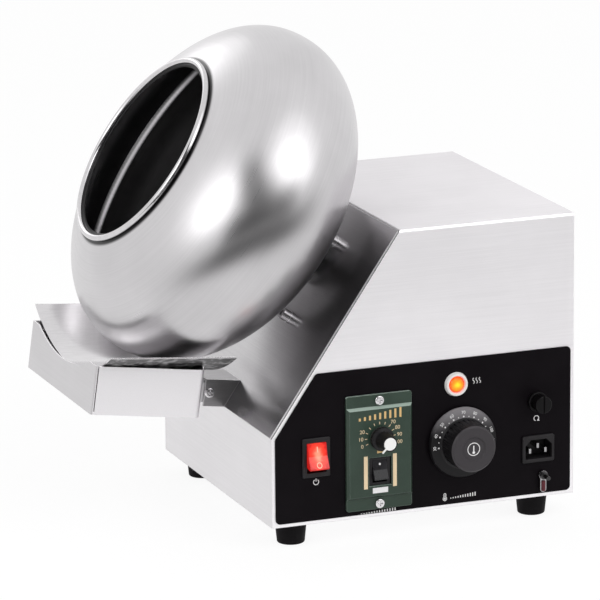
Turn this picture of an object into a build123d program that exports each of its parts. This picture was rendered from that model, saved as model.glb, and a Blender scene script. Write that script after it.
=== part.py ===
from build123d import *
import os
from math import acos, atan2, cos, degrees, pi, radians, sin, sqrt, tan

# A table-top dragee coating pan: a tilted pan on a gear motor, a heated tray under it and a control side.
# Millimetres. X runs to the control side, Y to the rear, Z up. The origin is on the table, under the middle
# of the housing.

# Housing sheet metal
HOUSING_LENGTH = 270.0
HOUSING_WIDTH = 258.0
HOUSING_HEIGHT = 241.0
FRONT_HEIGHT = 76.0
SLOPE_RUN = 114.5
SHEET = 1.5
TOP_BEND = 2.5
SEAM_GAP = 0.2
FLANGE = 14.0
VENT_LENGTH = 42.0
VENT_WIDTH = 4.0
VENT_PITCH = 11.0
VENT_ROWS = 6
VENT_COLUMNS = 3
VENT_COLUMN_PITCH = 58.0
REAR_VENT_HEIGHT = 150.0
PANEL_SCREW_END = 18.0

# Feet
FOOT_HEIGHT = 20.0
FOOT_TOP_DIAMETER = 27.0
FOOT_BOTTOM_DIAMETER = 23.0
FOOT_SIDE_INSET = 23.0
FOOT_FRONT_INSET = 25.0
FOOT_REAR_INSET = 28.0
FOOT_RECESS_DEPTH = 10.0

# Fasteners
SMALL_SCREW = 4.0
SMALL_HEAD = 8.0
SMALL_HEAD_HEIGHT = 2.6
PANEL_HEAD_HEIGHT = 1.2
NUT_WIDTH = 8.0
NUT_HEIGHT = 3.2
BOLT = 6.0
BOLT_HEAD = 10.0
BOLT_HEAD_HEIGHT = 6.0
BOLT_WASHER = 10.6
BOLT_WASHER_HEIGHT = 3.0
BOLT_NUT = 10.0
BOLT_NUT_HEIGHT = 5.0
HOLE_CLEARANCE = 0.3
FIT = 0.02
RUNNING_FIT = 0.05

# Pan
PAN_DIAMETER = 300.0
PAN_MOUTH_RISE = 73.0
PAN_FULLNESS = 2.25
PAN_REAR_DEPTH = 95.0
PAN_WALL = 1.5
PAN_UP_SLOPE = 147.0
PAN_OUT = 103.0
PAN_BACK_GAP = 16.0
MOUTH_RADIUS = 83.5
BEAD_RADIUS = 2.7
BEAD_RISE = 1.6
SEAM_FORWARD = 18.0
SEAM_WIDTH = 2.4
SEAM_RISE = 0.7
HUB_FLANGE = 44.0
HUB_FLANGE_HEIGHT = 4.0
HUB_BOSS = 24.0
HUB_GAP = 3.0
GRUB_SCREW = 6.0
GRUB_SINK = 1.0
GRUB_SOCKET = 2.0

# Gear train
PRESSURE_ANGLE = radians(25)
BACKLASH = 0.05
FAST_MODULE = 0.5
FAST_PINION_TEETH = 12
FAST_GEAR_TEETH = 72
FAST_FACE = 8.0
SLOW_MODULE = 0.7
SLOW_PINION_TEETH = 12
SLOW_GEAR_TEETH = 60
SLOW_FACE = 11.0
SHAFT_OFFSET = 18.0
GEAR_SIDE_GAP = 1.0
PINION_OVERHANG = 0.5
GEAR_STAGE_GAP = 4.0

# Gearhead and motor
MOTOR_SQUARE = 90.0
MOTOR_BOLT_SQUARE = 73.5
MOTOR_CORNER = 8.0
GEARCASE_WALL = 4.5
GEARCASE_FRONT = 13.0
GEARCASE_POST = 7.0
GEARPLATE = 8.0
OUTPUT_SHAFT = 15.0
OUTPUT_TAIL = 10.0
SHAFT_HOLE_WALL = 2.0
PILOT_DIAMETER = 34.0
PILOT_RISE = 2.5
OUTPUT_BEARING_OUTER = 35.0
OUTPUT_BEARING_WIDTH = 11.0
TAIL_BEARING_OUTER = 22.0
TAIL_BEARING_WIDTH = 6.0
LAYSHAFT = 6.0
LAYSHAFT_SEAT = 8.0
BUSH_OUTER = 10.0
BUSH_LENGTH = 6.0
PINION_NECK = 6.0
PINION_HOLE = 12.0
MOTOR_DIAMETER = 88.0
MOTOR_WALL = 3.0
MOTOR_FLANGE = 12.0
MOTOR_LENGTH = 94.0
END_BELL = 12.0
ROTOR_SHAFT = 12.0
MOTOR_BEARING_OUTER = 32.0
MOTOR_BEARING_WIDTH = 10.0
STATOR_BORE = 50.0
STATOR_LENGTH = 46.0
COIL_LENGTH = 11.0
COIL_WALL = 11.0
AIR_GAP = 0.4
BALLS = 8

# Tray, its arm and its bracket
TRAY_WIDTH = 164.0
TRAY_LENGTH = 96.0
TRAY_HEIGHT = 40.5
TRAY_SHEET = 1.2
TRAY_TILT = 8.0
TRAY_BEHIND_RIM = 42.3
TRAY_BELOW_RIM = 45.3
TRAY_CORNER = 2.0
TRAY_REAR_CORNER = 6.0
TRAY_SEAM = 0.8
NOTCH_WIDTH = 132.0
NOTCH_DEPTH = 13.0
LINER_RADIUS = 180.0
LINER_SHEET = 1.0
LINER_WIDTH = 194.0
LINER_SETBACK = 6.5
LINER_TILT = 2.6
LINER_OVERHANG = 20.0
LINER_SEAT = 0.1
ARM_REACH = 30.0
PIVOT_HEIGHT = 7.0
PIVOT_SCREW = 5.0
EAR_RADIUS = 9.0
ARM_TOP_LENGTH = 23.0
ARM_FLANGE_WIDTH = 56.0
ARM_CLEARANCE = 0.3
BRACKET_WIDTH = 38.0
BRACKET_FRONT = 26.0
BRACKET_TOP = 18.5
BRACKET_BOTTOM = -5.0
BRACKET_REACH = 60.0
WIRE_HOLE = 14.0
ELEMENT_DIAMETER = 8.0
ELEMENT_SPACING = 76.0
ELEMENT_LENGTH = 68.0
ELEMENT_BEND = 20.0
ELEMENT_FRONT_GAP = 14.0
ELEMENT_HEIGHT = 9.0
TERMINAL_PIN = 3.0
TERMINAL_PIN_LENGTH = 8.0
SUPPORT_WIDTH = 100.0
SUPPORT_THICKNESS = 6.0
SUPPORT_SPACING = 32.0

# Control side: places are measured from the housing's front or rear and from its underside
FASCIA = 0.8
FASCIA_EDGE = 3.0
FASCIA_TOP = 127.5
FASCIA_CORNER = 4.0
SWITCH_FROM_FRONT = 38.5
SWITCH_HEIGHT = 57.0
SWITCH_BEZEL = (24.5, 33.4, 2.0)
SWITCH_ROCKER = (16.6, 25.0)
SWITCH_BODY_DEPTH = 24.0
SWITCH_CROWN = 4.8
ROCKER_TILT = 20.0
ROCKER_CLEARANCE = 0.3
TRUNNION = 3.0
TRUNNION_REACH = 1.0
TRUNNION_DEPTH = 2.4
CONTROLLER_FROM_FRONT = 93.5
CONTROLLER_HEIGHT = 56.3
CONTROLLER_PLATE = (58.0, 98.0, 2.5)
CONTROLLER_RAISED = 5.0
CONTROLLER_STRIP = 10.0
CONTROLLER_BEVEL = 2.0
CONTROLLER_BOX = (50.0, 76.0, 44.0)
CONTROLLER_WALL = 2.0
CONTROLLER_SCREW_INSET = 5.0
RUN_SWITCH_ABOVE = -16.3
RUN_BEZEL = (19.6, 24.0, 2.0)
RUN_ROCKER = (12.4, 18.4)
RUN_BODY_DEPTH = 18.0
RUN_CROWN = 2.4
RUN_BEZEL_SINK = 1.5
SPEED_ABOVE = 12.5
POT_DIAMETER = 22.0
POT_DEPTH = 10.0
POT_BUSHING = 7.0
POT_SHAFT = 6.0
POT_NUT = 11.0
POT_NUT_HEIGHT = 2.0
SPEED_SKIRT = 20.0
SPEED_SKIRT_HEIGHT = 4.0
SPEED_GRIP = 13.0
SPEED_CAP = 10.6
SPEED_CAP_HEIGHT = 2.0
SPEED_POINTER = (1.4, 0.8)
SPEED_POINTER_REACH = 9.8
SPEED_POINTER_ANGLE = 225.0
SPEED_KNOB_HEIGHT = 19.0
SPEED_FLUTES = 24
SPEED_FLUTE = 1.0
LAMP_FROM_FRONT = 163.3
LAMP_HEIGHT = 105.7
LAMP_FLANGE = 20.6
LAMP_BARREL = 16.0
LAMP_BORE = 13.8
LAMP_DEPTH = 24.0
LAMP_RIM = 3.0
LAMP_NUT = 22.0
LAMP_NUT_HEIGHT = 4.0
LENS_CLEARANCE = 0.1
LENS_RISE = 3.4
LENS_DEPTH = 8.0
DIAL_FROM_FRONT = 167.5
DIAL_HEIGHT = 56.5
DIAL_SKIRT = 60.0
DIAL_SKIRT_HEIGHT = 4.5
DIAL_GRIP = 41.0
DIAL_GRIP_HEIGHT = 21.0
DIAL_GAP = 3.0
DIAL_DISH = 1.2
DIAL_DISH_RIM = 10.0
DIAL_FLUTES = 30
DIAL_FLUTE = 1.6
THERMOSTAT_BODY = (48.0, 36.0, 36.0)
THERMOSTAT_BUSHING = 9.0
THERMOSTAT_SHAFT = 6.0
THERMOSTAT_SCREW_SPACING = 28.0
SHAFT_IN_KNOB = 15.0
RESET_FROM_REAR = 34.0
RESET_HEIGHT = 83.5
CUTOUT_BODY = (28.0, 20.0, 30.0)
RESET_NECK = 11.0
RESET_NECK_RISE = 7.0
RESET_COLLAR = 17.0
RESET_COLLAR_HEIGHT = 4.5
RESET_COLLAR_SIDES = 12
RESET_CAP = 14.6
RESET_CAP_HEIGHT = 11.0
RESET_CAP_ROOF = 4.0
RESET_CAP_GAP = 0.3
RESET_FLUTES = 16
RESET_FLUTE = 1.0
RESET_SLOT = (1.8, 1.4)
RESET_PIN = 4.0
RESET_PIN_RISE = 9.5
RESET_PIN_LENGTH = 28.0
RESET_TRAVEL = 3.0
INLET_FROM_REAR = 32.8
INLET_HEIGHT = 42.4
INLET_BEZEL = (29.0, 23.4, 2.5)
INLET_BODY = (27.0, 20.0, 24.0)
INLET_SOCKET = (24.0, 16.6, 16.0)
INLET_CHAMFER = 5.0
INLET_PIN = (2.0, 4.0, 15.0)
INLET_PIN_SPACING = 14.0
INLET_PIN_DROP = -1.8
INLET_EARTH_RISE = 2.4
INLET_TAB = 8.0
EARTH_FROM_REAR = 29.0
EARTH_HEIGHT = 19.5
EARTH_SCREW = 3.5
EARTH_NUT = 6.0
EARTH_NUT_HEIGHT = 2.8
EARTH_REACH = 14.5
LUG_EYE = 7.6
LUG_SHEET = 0.8
LUG_TONGUE = 5.4
LUG_LENGTH = 14.6
SLEEVE_DIAMETER = 3.6
SLEEVE_LENGTH = 9.0
SLEEVE_END_GAP = 1.0

# Parts on the base plate
CAPACITOR = (48.0, 22.0, 36.0)
CAPACITOR_PLACE = (-70.0, -62.0)

# Worked out from the sizes above
FRONT_Y = -HOUSING_LENGTH / 2
REAR_Y = HOUSING_LENGTH / 2
SIDE_X = HOUSING_WIDTH / 2
BASE_Z = FOOT_HEIGHT
TOP_Z = BASE_Z + HOUSING_HEIGHT
INNER_X = SIDE_X - SHEET
SLOPE_ANGLE = atan2(HOUSING_HEIGHT - FRONT_HEIGHT, SLOPE_RUN)
WALL = SHEET + FASCIA
PANEL_X = SIDE_X + FASCIA
# The drive frame lies on the slope with z along the pan's axis; the rim is the lowest point of the
# pan's widest circle, and the tray hangs from there.
DRIVE_Y = FRONT_Y + PAN_UP_SLOPE * cos(SLOPE_ANGLE)
DRIVE_Z = BASE_Z + FRONT_HEIGHT + PAN_UP_SLOPE * sin(SLOPE_ANGLE)
DRIVE = Plane(origin=(0, DRIVE_Y, DRIVE_Z), x_dir=(1, 0, 0), z_dir=(0, -sin(SLOPE_ANGLE), cos(SLOPE_ANGLE)))
RIM_Y = DRIVE_Y - PAN_OUT * sin(SLOPE_ANGLE) - PAN_DIAMETER / 2 * cos(SLOPE_ANGLE)
RIM_Z = DRIVE_Z + PAN_OUT * cos(SLOPE_ANGLE) - PAN_DIAMETER / 2 * sin(SLOPE_ANGLE)
TRAY = Location((0, RIM_Y + TRAY_BEHIND_RIM, RIM_Z - TRAY_BELOW_RIM), (-TRAY_TILT, 0, 0))

parts = {}


# Shared shapes
def block(x_span, y_span, z_span):
    """A box between the two values of each span."""
    spans = (x_span, y_span, z_span)
    middle = [(low + high) / 2 for low, high in spans]
    size = [high - low for low, high in spans]
    return Pos(*middle) * Box(*size)


def centred(width, height, z_span):
    """A box centred on the local Z axis."""
    return block((-width / 2, width / 2), (-height / 2, height / 2), z_span)


def disc(diameter, z_span):
    """A cylinder on the local Z axis."""
    low, high = z_span
    return Pos(0, 0, (low + high) / 2) * Cylinder(diameter / 2, high - low)


def tube(outer, inner, z_span):
    """A ring on the local Z axis."""
    low, high = z_span
    return disc(outer, z_span) - disc(inner, (low - 1, high + 1))


def turned(points):
    """A solid turned about the local Z axis from radius and height points."""
    outline = Plane.XZ * make_face(Polyline(*points, close=True))
    return revolve(outline, Axis.Z)


def hexagon(across_flats, z_span):
    """A hexagonal bar on the local Z axis."""
    low, high = z_span
    return Pos(0, 0, low) * extrude(RegularPolygon(across_flats / 2, 6, major_radius=False), high - low)


def nut(across_flats, bore, z_span):
    """A plain hexagonal nut that fits its screw."""
    low, high = z_span
    return hexagon(across_flats, z_span) - disc(bore + 2 * FIT, (low - 1, high + 1))


def screw(head, head_height, shank, length):
    """A cross-head screw, its head standing on the plane it clamps."""
    body = disc(head, (0, head_height)) + disc(shank, (-length, 0))
    dome = fillet(body.edges().group_by(Axis.Z)[-1], head_height * 0.45)
    arm = head * 0.6
    slit = head * 0.14
    deep = (head_height * 0.45, head_height + 1)
    return dome - centred(arm, slit, deep) - centred(slit, arm, deep)


def fluted(body, diameter, count, flute, z_span):
    """Cut round flutes into the side of a knob."""
    cutters = [Pos(*place) * disc(flute, z_span) for place in ring_places(diameter / 2, count)]
    return body - cutters


def ring_places(radius, count):
    """Evenly spaced points on a circle in the local plane."""
    steps = [2 * pi * step / count for step in range(count)]
    return [(radius * cos(angle), radius * sin(angle), 0) for angle in steps]


def group(solids):
    """Like pieces that share one name."""
    return Compound(children=[piece for item in solids for piece in item.solids()])


def prism(points, x_span):
    """A side view outline, drawn in Y and Z, run across the machine."""
    low, high = x_span
    side = Plane(origin=(low, 0, 0), x_dir=(0, 1, 0), z_dir=(1, 0, 0))
    return extrude(side * make_face(Polyline(*points, close=True)), high - low, dir=(1, 0, 0))


def control(from_front, above_base):
    """A frame on the outside of the fascia: x to the rear, y up, z out of the panel."""
    place = (PANEL_X, FRONT_Y + from_front, BASE_Z + above_base)
    return Plane(origin=place, x_dir=(0, 1, 0), z_dir=(1, 0, 0))


# Places on the control side
SWITCH = control(SWITCH_FROM_FRONT, SWITCH_HEIGHT)
CONTROLLER = control(CONTROLLER_FROM_FRONT, CONTROLLER_HEIGHT)
RUN_SWITCH = control(CONTROLLER_FROM_FRONT, CONTROLLER_HEIGHT + RUN_SWITCH_ABOVE)
SPEED = control(CONTROLLER_FROM_FRONT, CONTROLLER_HEIGHT + SPEED_ABOVE)
LAMP = control(LAMP_FROM_FRONT, LAMP_HEIGHT)
DIAL = control(DIAL_FROM_FRONT, DIAL_HEIGHT)
RESET = control(HOUSING_LENGTH - RESET_FROM_REAR, RESET_HEIGHT)
INLET = control(HOUSING_LENGTH - INLET_FROM_REAR, INLET_HEIGHT)
EARTH = control(HOUSING_LENGTH - EARTH_FROM_REAR, EARTH_HEIGHT)

SWITCH_BODY = (SWITCH_ROCKER[0] + 5.0, SWITCH_ROCKER[1] + 5.0)
RUN_BODY = (RUN_ROCKER[0] + 4.6, RUN_ROCKER[1] + 3.6)
CONTROLLER_SCREW_RISE = CONTROLLER_PLATE[1] / 2 - CONTROLLER_SCREW_INSET


def panel_holes():
    """Cutters for every hole through the control side and its fascia."""
    through = (-WALL - 1, 1)
    slack = 2 * SEAM_GAP
    dial_screws = [Pos(side * THERMOSTAT_SCREW_SPACING / 2, 0) for side in (-1, 1)]
    plate_screws = [Pos(0, side * CONTROLLER_SCREW_RISE) for side in (-1, 1)]
    screw_hole = disc(SMALL_SCREW + HOLE_CLEARANCE, through)
    return [
        SWITCH * centred(SWITCH_BODY[0] + slack, SWITCH_BODY[1] + slack, through),
        CONTROLLER * centred(CONTROLLER_BOX[0] + slack, CONTROLLER_BOX[1] + slack, through),
        *[CONTROLLER * place * screw_hole for place in plate_screws],
        LAMP * disc(LAMP_BARREL + HOLE_CLEARANCE, through),
        DIAL * disc(THERMOSTAT_BUSHING + HOLE_CLEARANCE, through),
        *[DIAL * place * screw_hole for place in dial_screws],
        RESET * disc(RESET_NECK + HOLE_CLEARANCE, through),
        INLET * centred(INLET_BODY[0] + slack, INLET_BODY[1] + slack, through),
        EARTH * disc(EARTH_SCREW + HOLE_CLEARANCE, through),
    ]


# Housing cover: top and two sides in one bent sheet, with flanges for the rear panel and the base
OUTLINE = [
    (FRONT_Y, BASE_Z),
    (REAR_Y, BASE_Z),
    (REAR_Y, TOP_Z),
    (FRONT_Y + SLOPE_RUN, TOP_Z),
    (FRONT_Y, BASE_Z + FRONT_HEIGHT),
]
FLANGE_X = INNER_X - FLANGE
PANEL_SCREW_X = INNER_X - FLANGE / 2
REAR_SCREWS = [
    (side * PANEL_SCREW_X, height)
    for side in (-1, 1)
    for height in (BASE_Z + PANEL_SCREW_END, (BASE_Z + TOP_Z) / 2, TOP_Z - PANEL_SCREW_END)
]
BASE_SCREWS = [
    (side * PANEL_SCREW_X, along)
    for side in (-1, 1)
    for along in (FRONT_Y + 3 * PANEL_SCREW_END, 0, REAR_Y - PANEL_SCREW_END)
]
FEET = [
    (side * (SIDE_X - FOOT_SIDE_INSET), along)
    for side in (-1, 1)
    for along in (FRONT_Y + FOOT_FRONT_INSET, REAR_Y - FOOT_REAR_INSET)
]
REAR_FACE = Plane(origin=(0, REAR_Y, 0), x_dir=(-1, 0, 0), z_dir=(0, 1, 0))
UNDER_FACE = Plane(origin=(0, 0, BASE_Z), x_dir=(1, 0, 0), z_dir=(0, 0, -1))


def rear_place(x, z):
    """A frame on the rear face, z out of it."""
    return REAR_FACE * Pos(-x, z, 0)


def under_place(x, y):
    """A frame on the underside, z pointing down."""
    return UNDER_FACE * Pos(x, -y, 0)


def vents(rows, columns):
    """Slots in a sheet, drawn in its own frame."""
    slot = extrude(SlotOverall(VENT_LENGTH, VENT_WIDTH), 2 * SHEET, both=True)
    return [place * slot for place in GridLocations(VENT_COLUMN_PITCH, VENT_PITCH, columns, rows)]


def housing_cover():
    body = prism(OUTLINE, (-SIDE_X, SIDE_X))
    bends = body.edges().filter_by(Axis.Y).group_by(Axis.Z)[-1]
    body = fillet(bends, TOP_BEND)
    cover = body - block((-INNER_X, INNER_X), (FRONT_Y - 1, REAR_Y + 1), (BASE_Z - 1, TOP_Z - SHEET))
    back = (REAR_Y - 2 * SHEET, REAR_Y - SHEET)
    rear_flange = block((-INNER_X, INNER_X), back, (BASE_Z + 3 * SHEET, TOP_Z - SHEET))
    rear_flange -= block((-FLANGE_X, FLANGE_X), (back[0] - 1, back[1] + 1), (BASE_Z, TOP_Z - SHEET - FLANGE))
    low = (BASE_Z + SHEET, BASE_Z + 2 * SHEET)
    along = (FRONT_Y + SHEET + FLANGE + SEAM_GAP, REAR_Y - 3 * SHEET)
    low_flanges = [block((FLANGE_X, INNER_X), along, low), block((-INNER_X, -FLANGE_X), along, low)]
    cover = cover + rear_flange + low_flanges
    hole = disc(SMALL_SCREW + HOLE_CLEARANCE, (-3 * SHEET, SHEET))
    cover -= [rear_place(*place) * hole for place in REAR_SCREWS]
    cover -= [under_place(*place) * hole for place in BASE_SCREWS]
    return cover - panel_holes()


def bolt_places():
    """The four motor bolts in the drive frame."""
    half = MOTOR_BOLT_SQUARE / 2
    return [Pos(x, y - SHAFT_OFFSET) for x in (-half, half) for y in (-half, half)]


def front_panel():
    width = INNER_X - SEAM_GAP
    solid = prism(OUTLINE, (-width, width)) & block(
        (-width, width), (FRONT_Y, FRONT_Y + SLOPE_RUN + FLANGE), (BASE_Z, TOP_Z - SHEET)
    )
    rise = SHEET / sin(SLOPE_ANGLE)
    knee = FRONT_HEIGHT - SHEET * tan((pi / 2 - SLOPE_ANGLE) / 2)
    hollow = [
        (FRONT_Y + SHEET, BASE_Z + 2 * SHEET),
        (REAR_Y, BASE_Z + 2 * SHEET),
        (REAR_Y, TOP_Z - 2 * SHEET),
        (FRONT_Y + SLOPE_RUN + rise - 2 * SHEET / tan(SLOPE_ANGLE), TOP_Z - 2 * SHEET),
        (FRONT_Y + SHEET, BASE_Z + knee),
    ]
    panel = solid - prism(hollow, (-width - 1, width + 1))
    behind = FRONT_Y + SHEET + FLANGE
    panel -= block((-width - 1, width + 1), (behind, REAR_Y), (BASE_Z - 1, BASE_Z + 2 * SHEET + 1))
    under = (BASE_Z - 1, BASE_Z + SHEET)
    panel -= block((-width - 1, width + 1), (FRONT_Y + SHEET, behind + 1), under)
    through = (-3 * SHEET, SHEET)
    panel -= DRIVE * disc(PILOT_DIAMETER + HOLE_CLEARANCE, through)
    panel -= [DRIVE * place * disc(BOLT + HOLE_CLEARANCE, through) for place in bolt_places()]
    return panel - wire_hole()


def wire_hole():
    """The hole behind the bracket for the element's leads."""
    middle = (BRACKET_TOP + BRACKET_BOTTOM) / 2
    return TRAY * Pos(0, BRACKET_REACH, middle) * Rot(90, 0, 0) * Cylinder(WIRE_HOLE / 2, BRACKET_REACH)


def base_plate():
    edge = INNER_X - SEAM_GAP
    plate = block((-edge, edge), (FRONT_Y + SHEET + SEAM_GAP, REAR_Y), (BASE_Z, BASE_Z + SHEET))
    plate -= [under_place(0, 0) * slot for slot in vents(VENT_ROWS, VENT_COLUMNS)]
    hole = disc(SMALL_SCREW + HOLE_CLEARANCE, (-3 * SHEET, SHEET))
    plate -= [under_place(*place) * hole for place in BASE_SCREWS]
    plate -= [under_place(*place) * hole for place in FEET]
    return plate


def rear_panel():
    edge = INNER_X - SEAM_GAP
    low = BASE_Z + SHEET + SEAM_GAP
    panel = block((-edge, edge), (REAR_Y - SHEET, REAR_Y), (low, TOP_Z - SHEET - SEAM_GAP))
    panel -= [rear_place(0, BASE_Z + REAR_VENT_HEIGHT) * slot for slot in vents(VENT_ROWS, VENT_COLUMNS)]
    hole = disc(SMALL_SCREW + HOLE_CLEARANCE, (-3 * SHEET, SHEET))
    panel -= [rear_place(*place) * hole for place in REAR_SCREWS]
    return panel


def panel_screw():
    return screw(SMALL_HEAD, PANEL_HEAD_HEIGHT, SMALL_SCREW, 4 * SHEET)


parts["housing_cover"] = housing_cover()
parts["front_panel"] = front_panel()
parts["base_plate"] = base_plate()
parts["rear_panel"] = rear_panel()


# Rubber feet, each on a screw with its nut inside the base
def foot():
    top = FOOT_TOP_DIAMETER / 2
    bottom = FOOT_BOTTOM_DIAMETER / 2
    body = turned([(0, 0), (top, 0), (bottom, FOOT_HEIGHT), (0, FOOT_HEIGHT)])
    body = fillet(body.edges().group_by(Axis.Z)[-1], 1.5)
    body -= disc(SMALL_SCREW + HOLE_CLEARANCE, (-1, FOOT_HEIGHT))
    return body - disc(SMALL_HEAD + 2, (FOOT_HEIGHT - FOOT_RECESS_DEPTH, FOOT_HEIGHT + 1))


def foot_screw():
    seat = FOOT_HEIGHT - FOOT_RECESS_DEPTH
    length = seat + SHEET + NUT_HEIGHT + 1
    shank = Pos(0, 0, seat) * screw(SMALL_HEAD, SMALL_HEAD_HEIGHT, SMALL_SCREW, length)
    return [shank, nut(NUT_WIDTH, SMALL_SCREW, (-SHEET - NUT_HEIGHT, -SHEET))]


def housing_screws():
    rear = [rear_place(*place) * panel_screw() for place in REAR_SCREWS]
    base = [under_place(*place) * panel_screw() for place in BASE_SCREWS]
    feet = [under_place(*place) * piece for place in FEET for piece in foot_screw()]
    return rear + base + feet


parts["feet"] = group([under_place(*place) * foot() for place in FEET])
parts["housing_screws"] = group(housing_screws())


# Fascia on the control side
def control_fascia():
    edge = FASCIA_EDGE
    rise = FASCIA_TOP - FRONT_HEIGHT + edge * cos(SLOPE_ANGLE)
    knee = FRONT_HEIGHT - edge * cos(SLOPE_ANGLE) + (edge - edge * sin(SLOPE_ANGLE)) * tan(SLOPE_ANGLE)
    shape = [
        (edge, edge),
        (HOUSING_LENGTH - edge, edge),
        (HOUSING_LENGTH - edge, FASCIA_TOP),
        (edge * sin(SLOPE_ANGLE) + rise / tan(SLOPE_ANGLE), FASCIA_TOP),
        (edge, knee),
    ]
    sheet = prism([(FRONT_Y + along, BASE_Z + up) for along, up in shape], (SIDE_X, PANEL_X))
    sheet = fillet(sheet.edges().filter_by(Axis.X), FASCIA_CORNER)
    return sheet - panel_holes()


parts["control_fascia"] = control_fascia()

# Pan, turned about the drive axis
MOUTH_Z = PAN_OUT + PAN_MOUTH_RISE
MOUTH_SHARE = (2 * MOUTH_RADIUS / PAN_DIAMETER) ** PAN_FULLNESS
PAN_FRONT_DEPTH = PAN_MOUTH_RISE / (1 - MOUTH_SHARE) ** (1 / PAN_FULLNESS)
FRONT_STEPS = 12


def front_radius(rise, inset):
    """Radius of the pan's front half at a height above its widest place."""
    share = (rise / (PAN_FRONT_DEPTH - inset)) ** PAN_FULLNESS
    return (PAN_DIAMETER / 2 - inset) * (1 - share) ** (1 / PAN_FULLNESS)


def pan_outline(inset):
    """Half section from the back flat to the mouth: flat, rear ellipse, fuller front curve."""
    radius = PAN_DIAMETER / 2 - inset
    rear = PAN_REAR_DEPTH - inset
    back = PAN_OUT - PAN_BACK_GAP - inset
    back_angle = degrees(acos(back / rear))
    sweep_angle = 90 - back_angle
    flat = radius * sin(radians(back_angle))
    rises = [PAN_MOUTH_RISE * sin(pi / 2 * step / FRONT_STEPS) for step in range(FRONT_STEPS + 1)]
    front = [(front_radius(rise, inset), PAN_OUT + rise) for rise in rises]
    nearly = PAN_MOUTH_RISE * 0.999
    lip = (front[-1][0] - front_radius(nearly, inset), PAN_MOUTH_RISE - nearly)
    return [
        Line((0, PAN_OUT - back), (flat, PAN_OUT - back)),
        EllipticalCenterArc((0, PAN_OUT), radius, rear, start_angle=-sweep_angle, arc_size=sweep_angle),
        Spline(*front, tangents=((0, 1), lip)),
    ]


def pan_shell():
    outer = pan_outline(0)
    inner = pan_outline(PAN_WALL)
    mouth = Line(outer[-1] @ 1, inner[-1] @ 1)
    axis = Line(outer[0] @ 0, inner[0] @ 0)
    shell = revolve(Plane.XZ * make_face(Wire([*outer, mouth, *inner, axis])), Axis.Z)
    inside = 2 * front_radius(SEAM_FORWARD, PAN_WALL)
    seam = PAN_OUT + SEAM_FORWARD
    span = (seam - SEAM_WIDTH / 2, seam + SEAM_WIDTH / 2)
    return shell + tube(inside + PAN_WALL, inside - 2 * SEAM_RISE, span)


def pan_mouth_bead():
    ring = Pos(0, 0, MOUTH_Z + BEAD_RISE) * Torus(MOUTH_RADIUS, BEAD_RADIUS)
    return ring - disc(PAN_DIAMETER, (MOUTH_Z - 2 * BEAD_RADIUS, MOUTH_Z))


HUB_BORE_END = PAN_BACK_GAP - HUB_FLANGE_HEIGHT / 2
GRUB_HEIGHT = (HUB_GAP + PAN_BACK_GAP - HUB_FLANGE_HEIGHT) / 2


def grub_axis():
    """A frame at the hub's axis, z along the grub screw."""
    return Plane(origin=(0, 0, GRUB_HEIGHT), x_dir=(0, 0, 1), z_dir=(1, 0, 0))


def pan_hub():
    flange_low = PAN_BACK_GAP - HUB_FLANGE_HEIGHT
    hub = disc(HUB_BOSS, (HUB_GAP, flange_low)) + disc(HUB_FLANGE, (flange_low, PAN_BACK_GAP))
    hub -= disc(OUTPUT_SHAFT + 2 * FIT, (HUB_GAP - 1, HUB_BORE_END))
    return hub - grub_axis() * disc(GRUB_SCREW + 2 * FIT, (0, HUB_BOSS))


def hub_grub_screw():
    top = HUB_BOSS / 2 - GRUB_SINK
    body = disc(GRUB_SCREW, (OUTPUT_SHAFT / 2 + FIT, top))
    socket = hexagon(GRUB_SCREW / 2, (top - GRUB_SOCKET, HUB_BOSS))
    return grub_axis() * (body - socket)


parts["pan_shell"] = DRIVE * pan_shell()
parts["pan_mouth_bead"] = DRIVE * pan_mouth_bead()
parts["pan_hub"] = DRIVE * pan_hub()
parts["hub_grub_screw"] = DRIVE * hub_grub_screw()

# Gear train: heights run down from the inside of the slope sheet
CASE_FRONT = -SHEET
CASE_INSIDE = CASE_FRONT - GEARCASE_FRONT
SLOW_TOP = CASE_INSIDE - GEAR_SIDE_GAP
SLOW_LOW = SLOW_TOP - SLOW_FACE
FAST_TOP = SLOW_LOW - GEAR_STAGE_GAP
FAST_LOW = FAST_TOP - FAST_FACE
CASE_REAR = FAST_LOW - GEAR_STAGE_GAP
PLATE_REAR = CASE_REAR - GEARPLATE
FLANGE_REAR = PLATE_REAR - MOTOR_FLANGE
CAN_REAR = FLANGE_REAR - MOTOR_LENGTH
BELL_REAR = CAN_REAR - END_BELL
FAST_CENTRES = FAST_MODULE * (FAST_PINION_TEETH + FAST_GEAR_TEETH) / 2
SLOW_CENTRES = SLOW_MODULE * (SLOW_PINION_TEETH + SLOW_GEAR_TEETH) / 2
LAY_RISE = (FAST_CENTRES**2 - SLOW_CENTRES**2 + SHAFT_OFFSET**2) / (2 * SHAFT_OFFSET)
LAY_X = -sqrt(FAST_CENTRES**2 - LAY_RISE**2)
LAY_Y = LAY_RISE - SHAFT_OFFSET
LAYSHAFT_AXIS = Pos(LAY_X, LAY_Y)
MOTOR_AXIS = Pos(0, -SHAFT_OFFSET)
OUTPUT_TO_LAY = degrees(atan2(LAY_Y, LAY_X))
LAY_TO_MOTOR = degrees(atan2(-LAY_RISE, -LAY_X))


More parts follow.
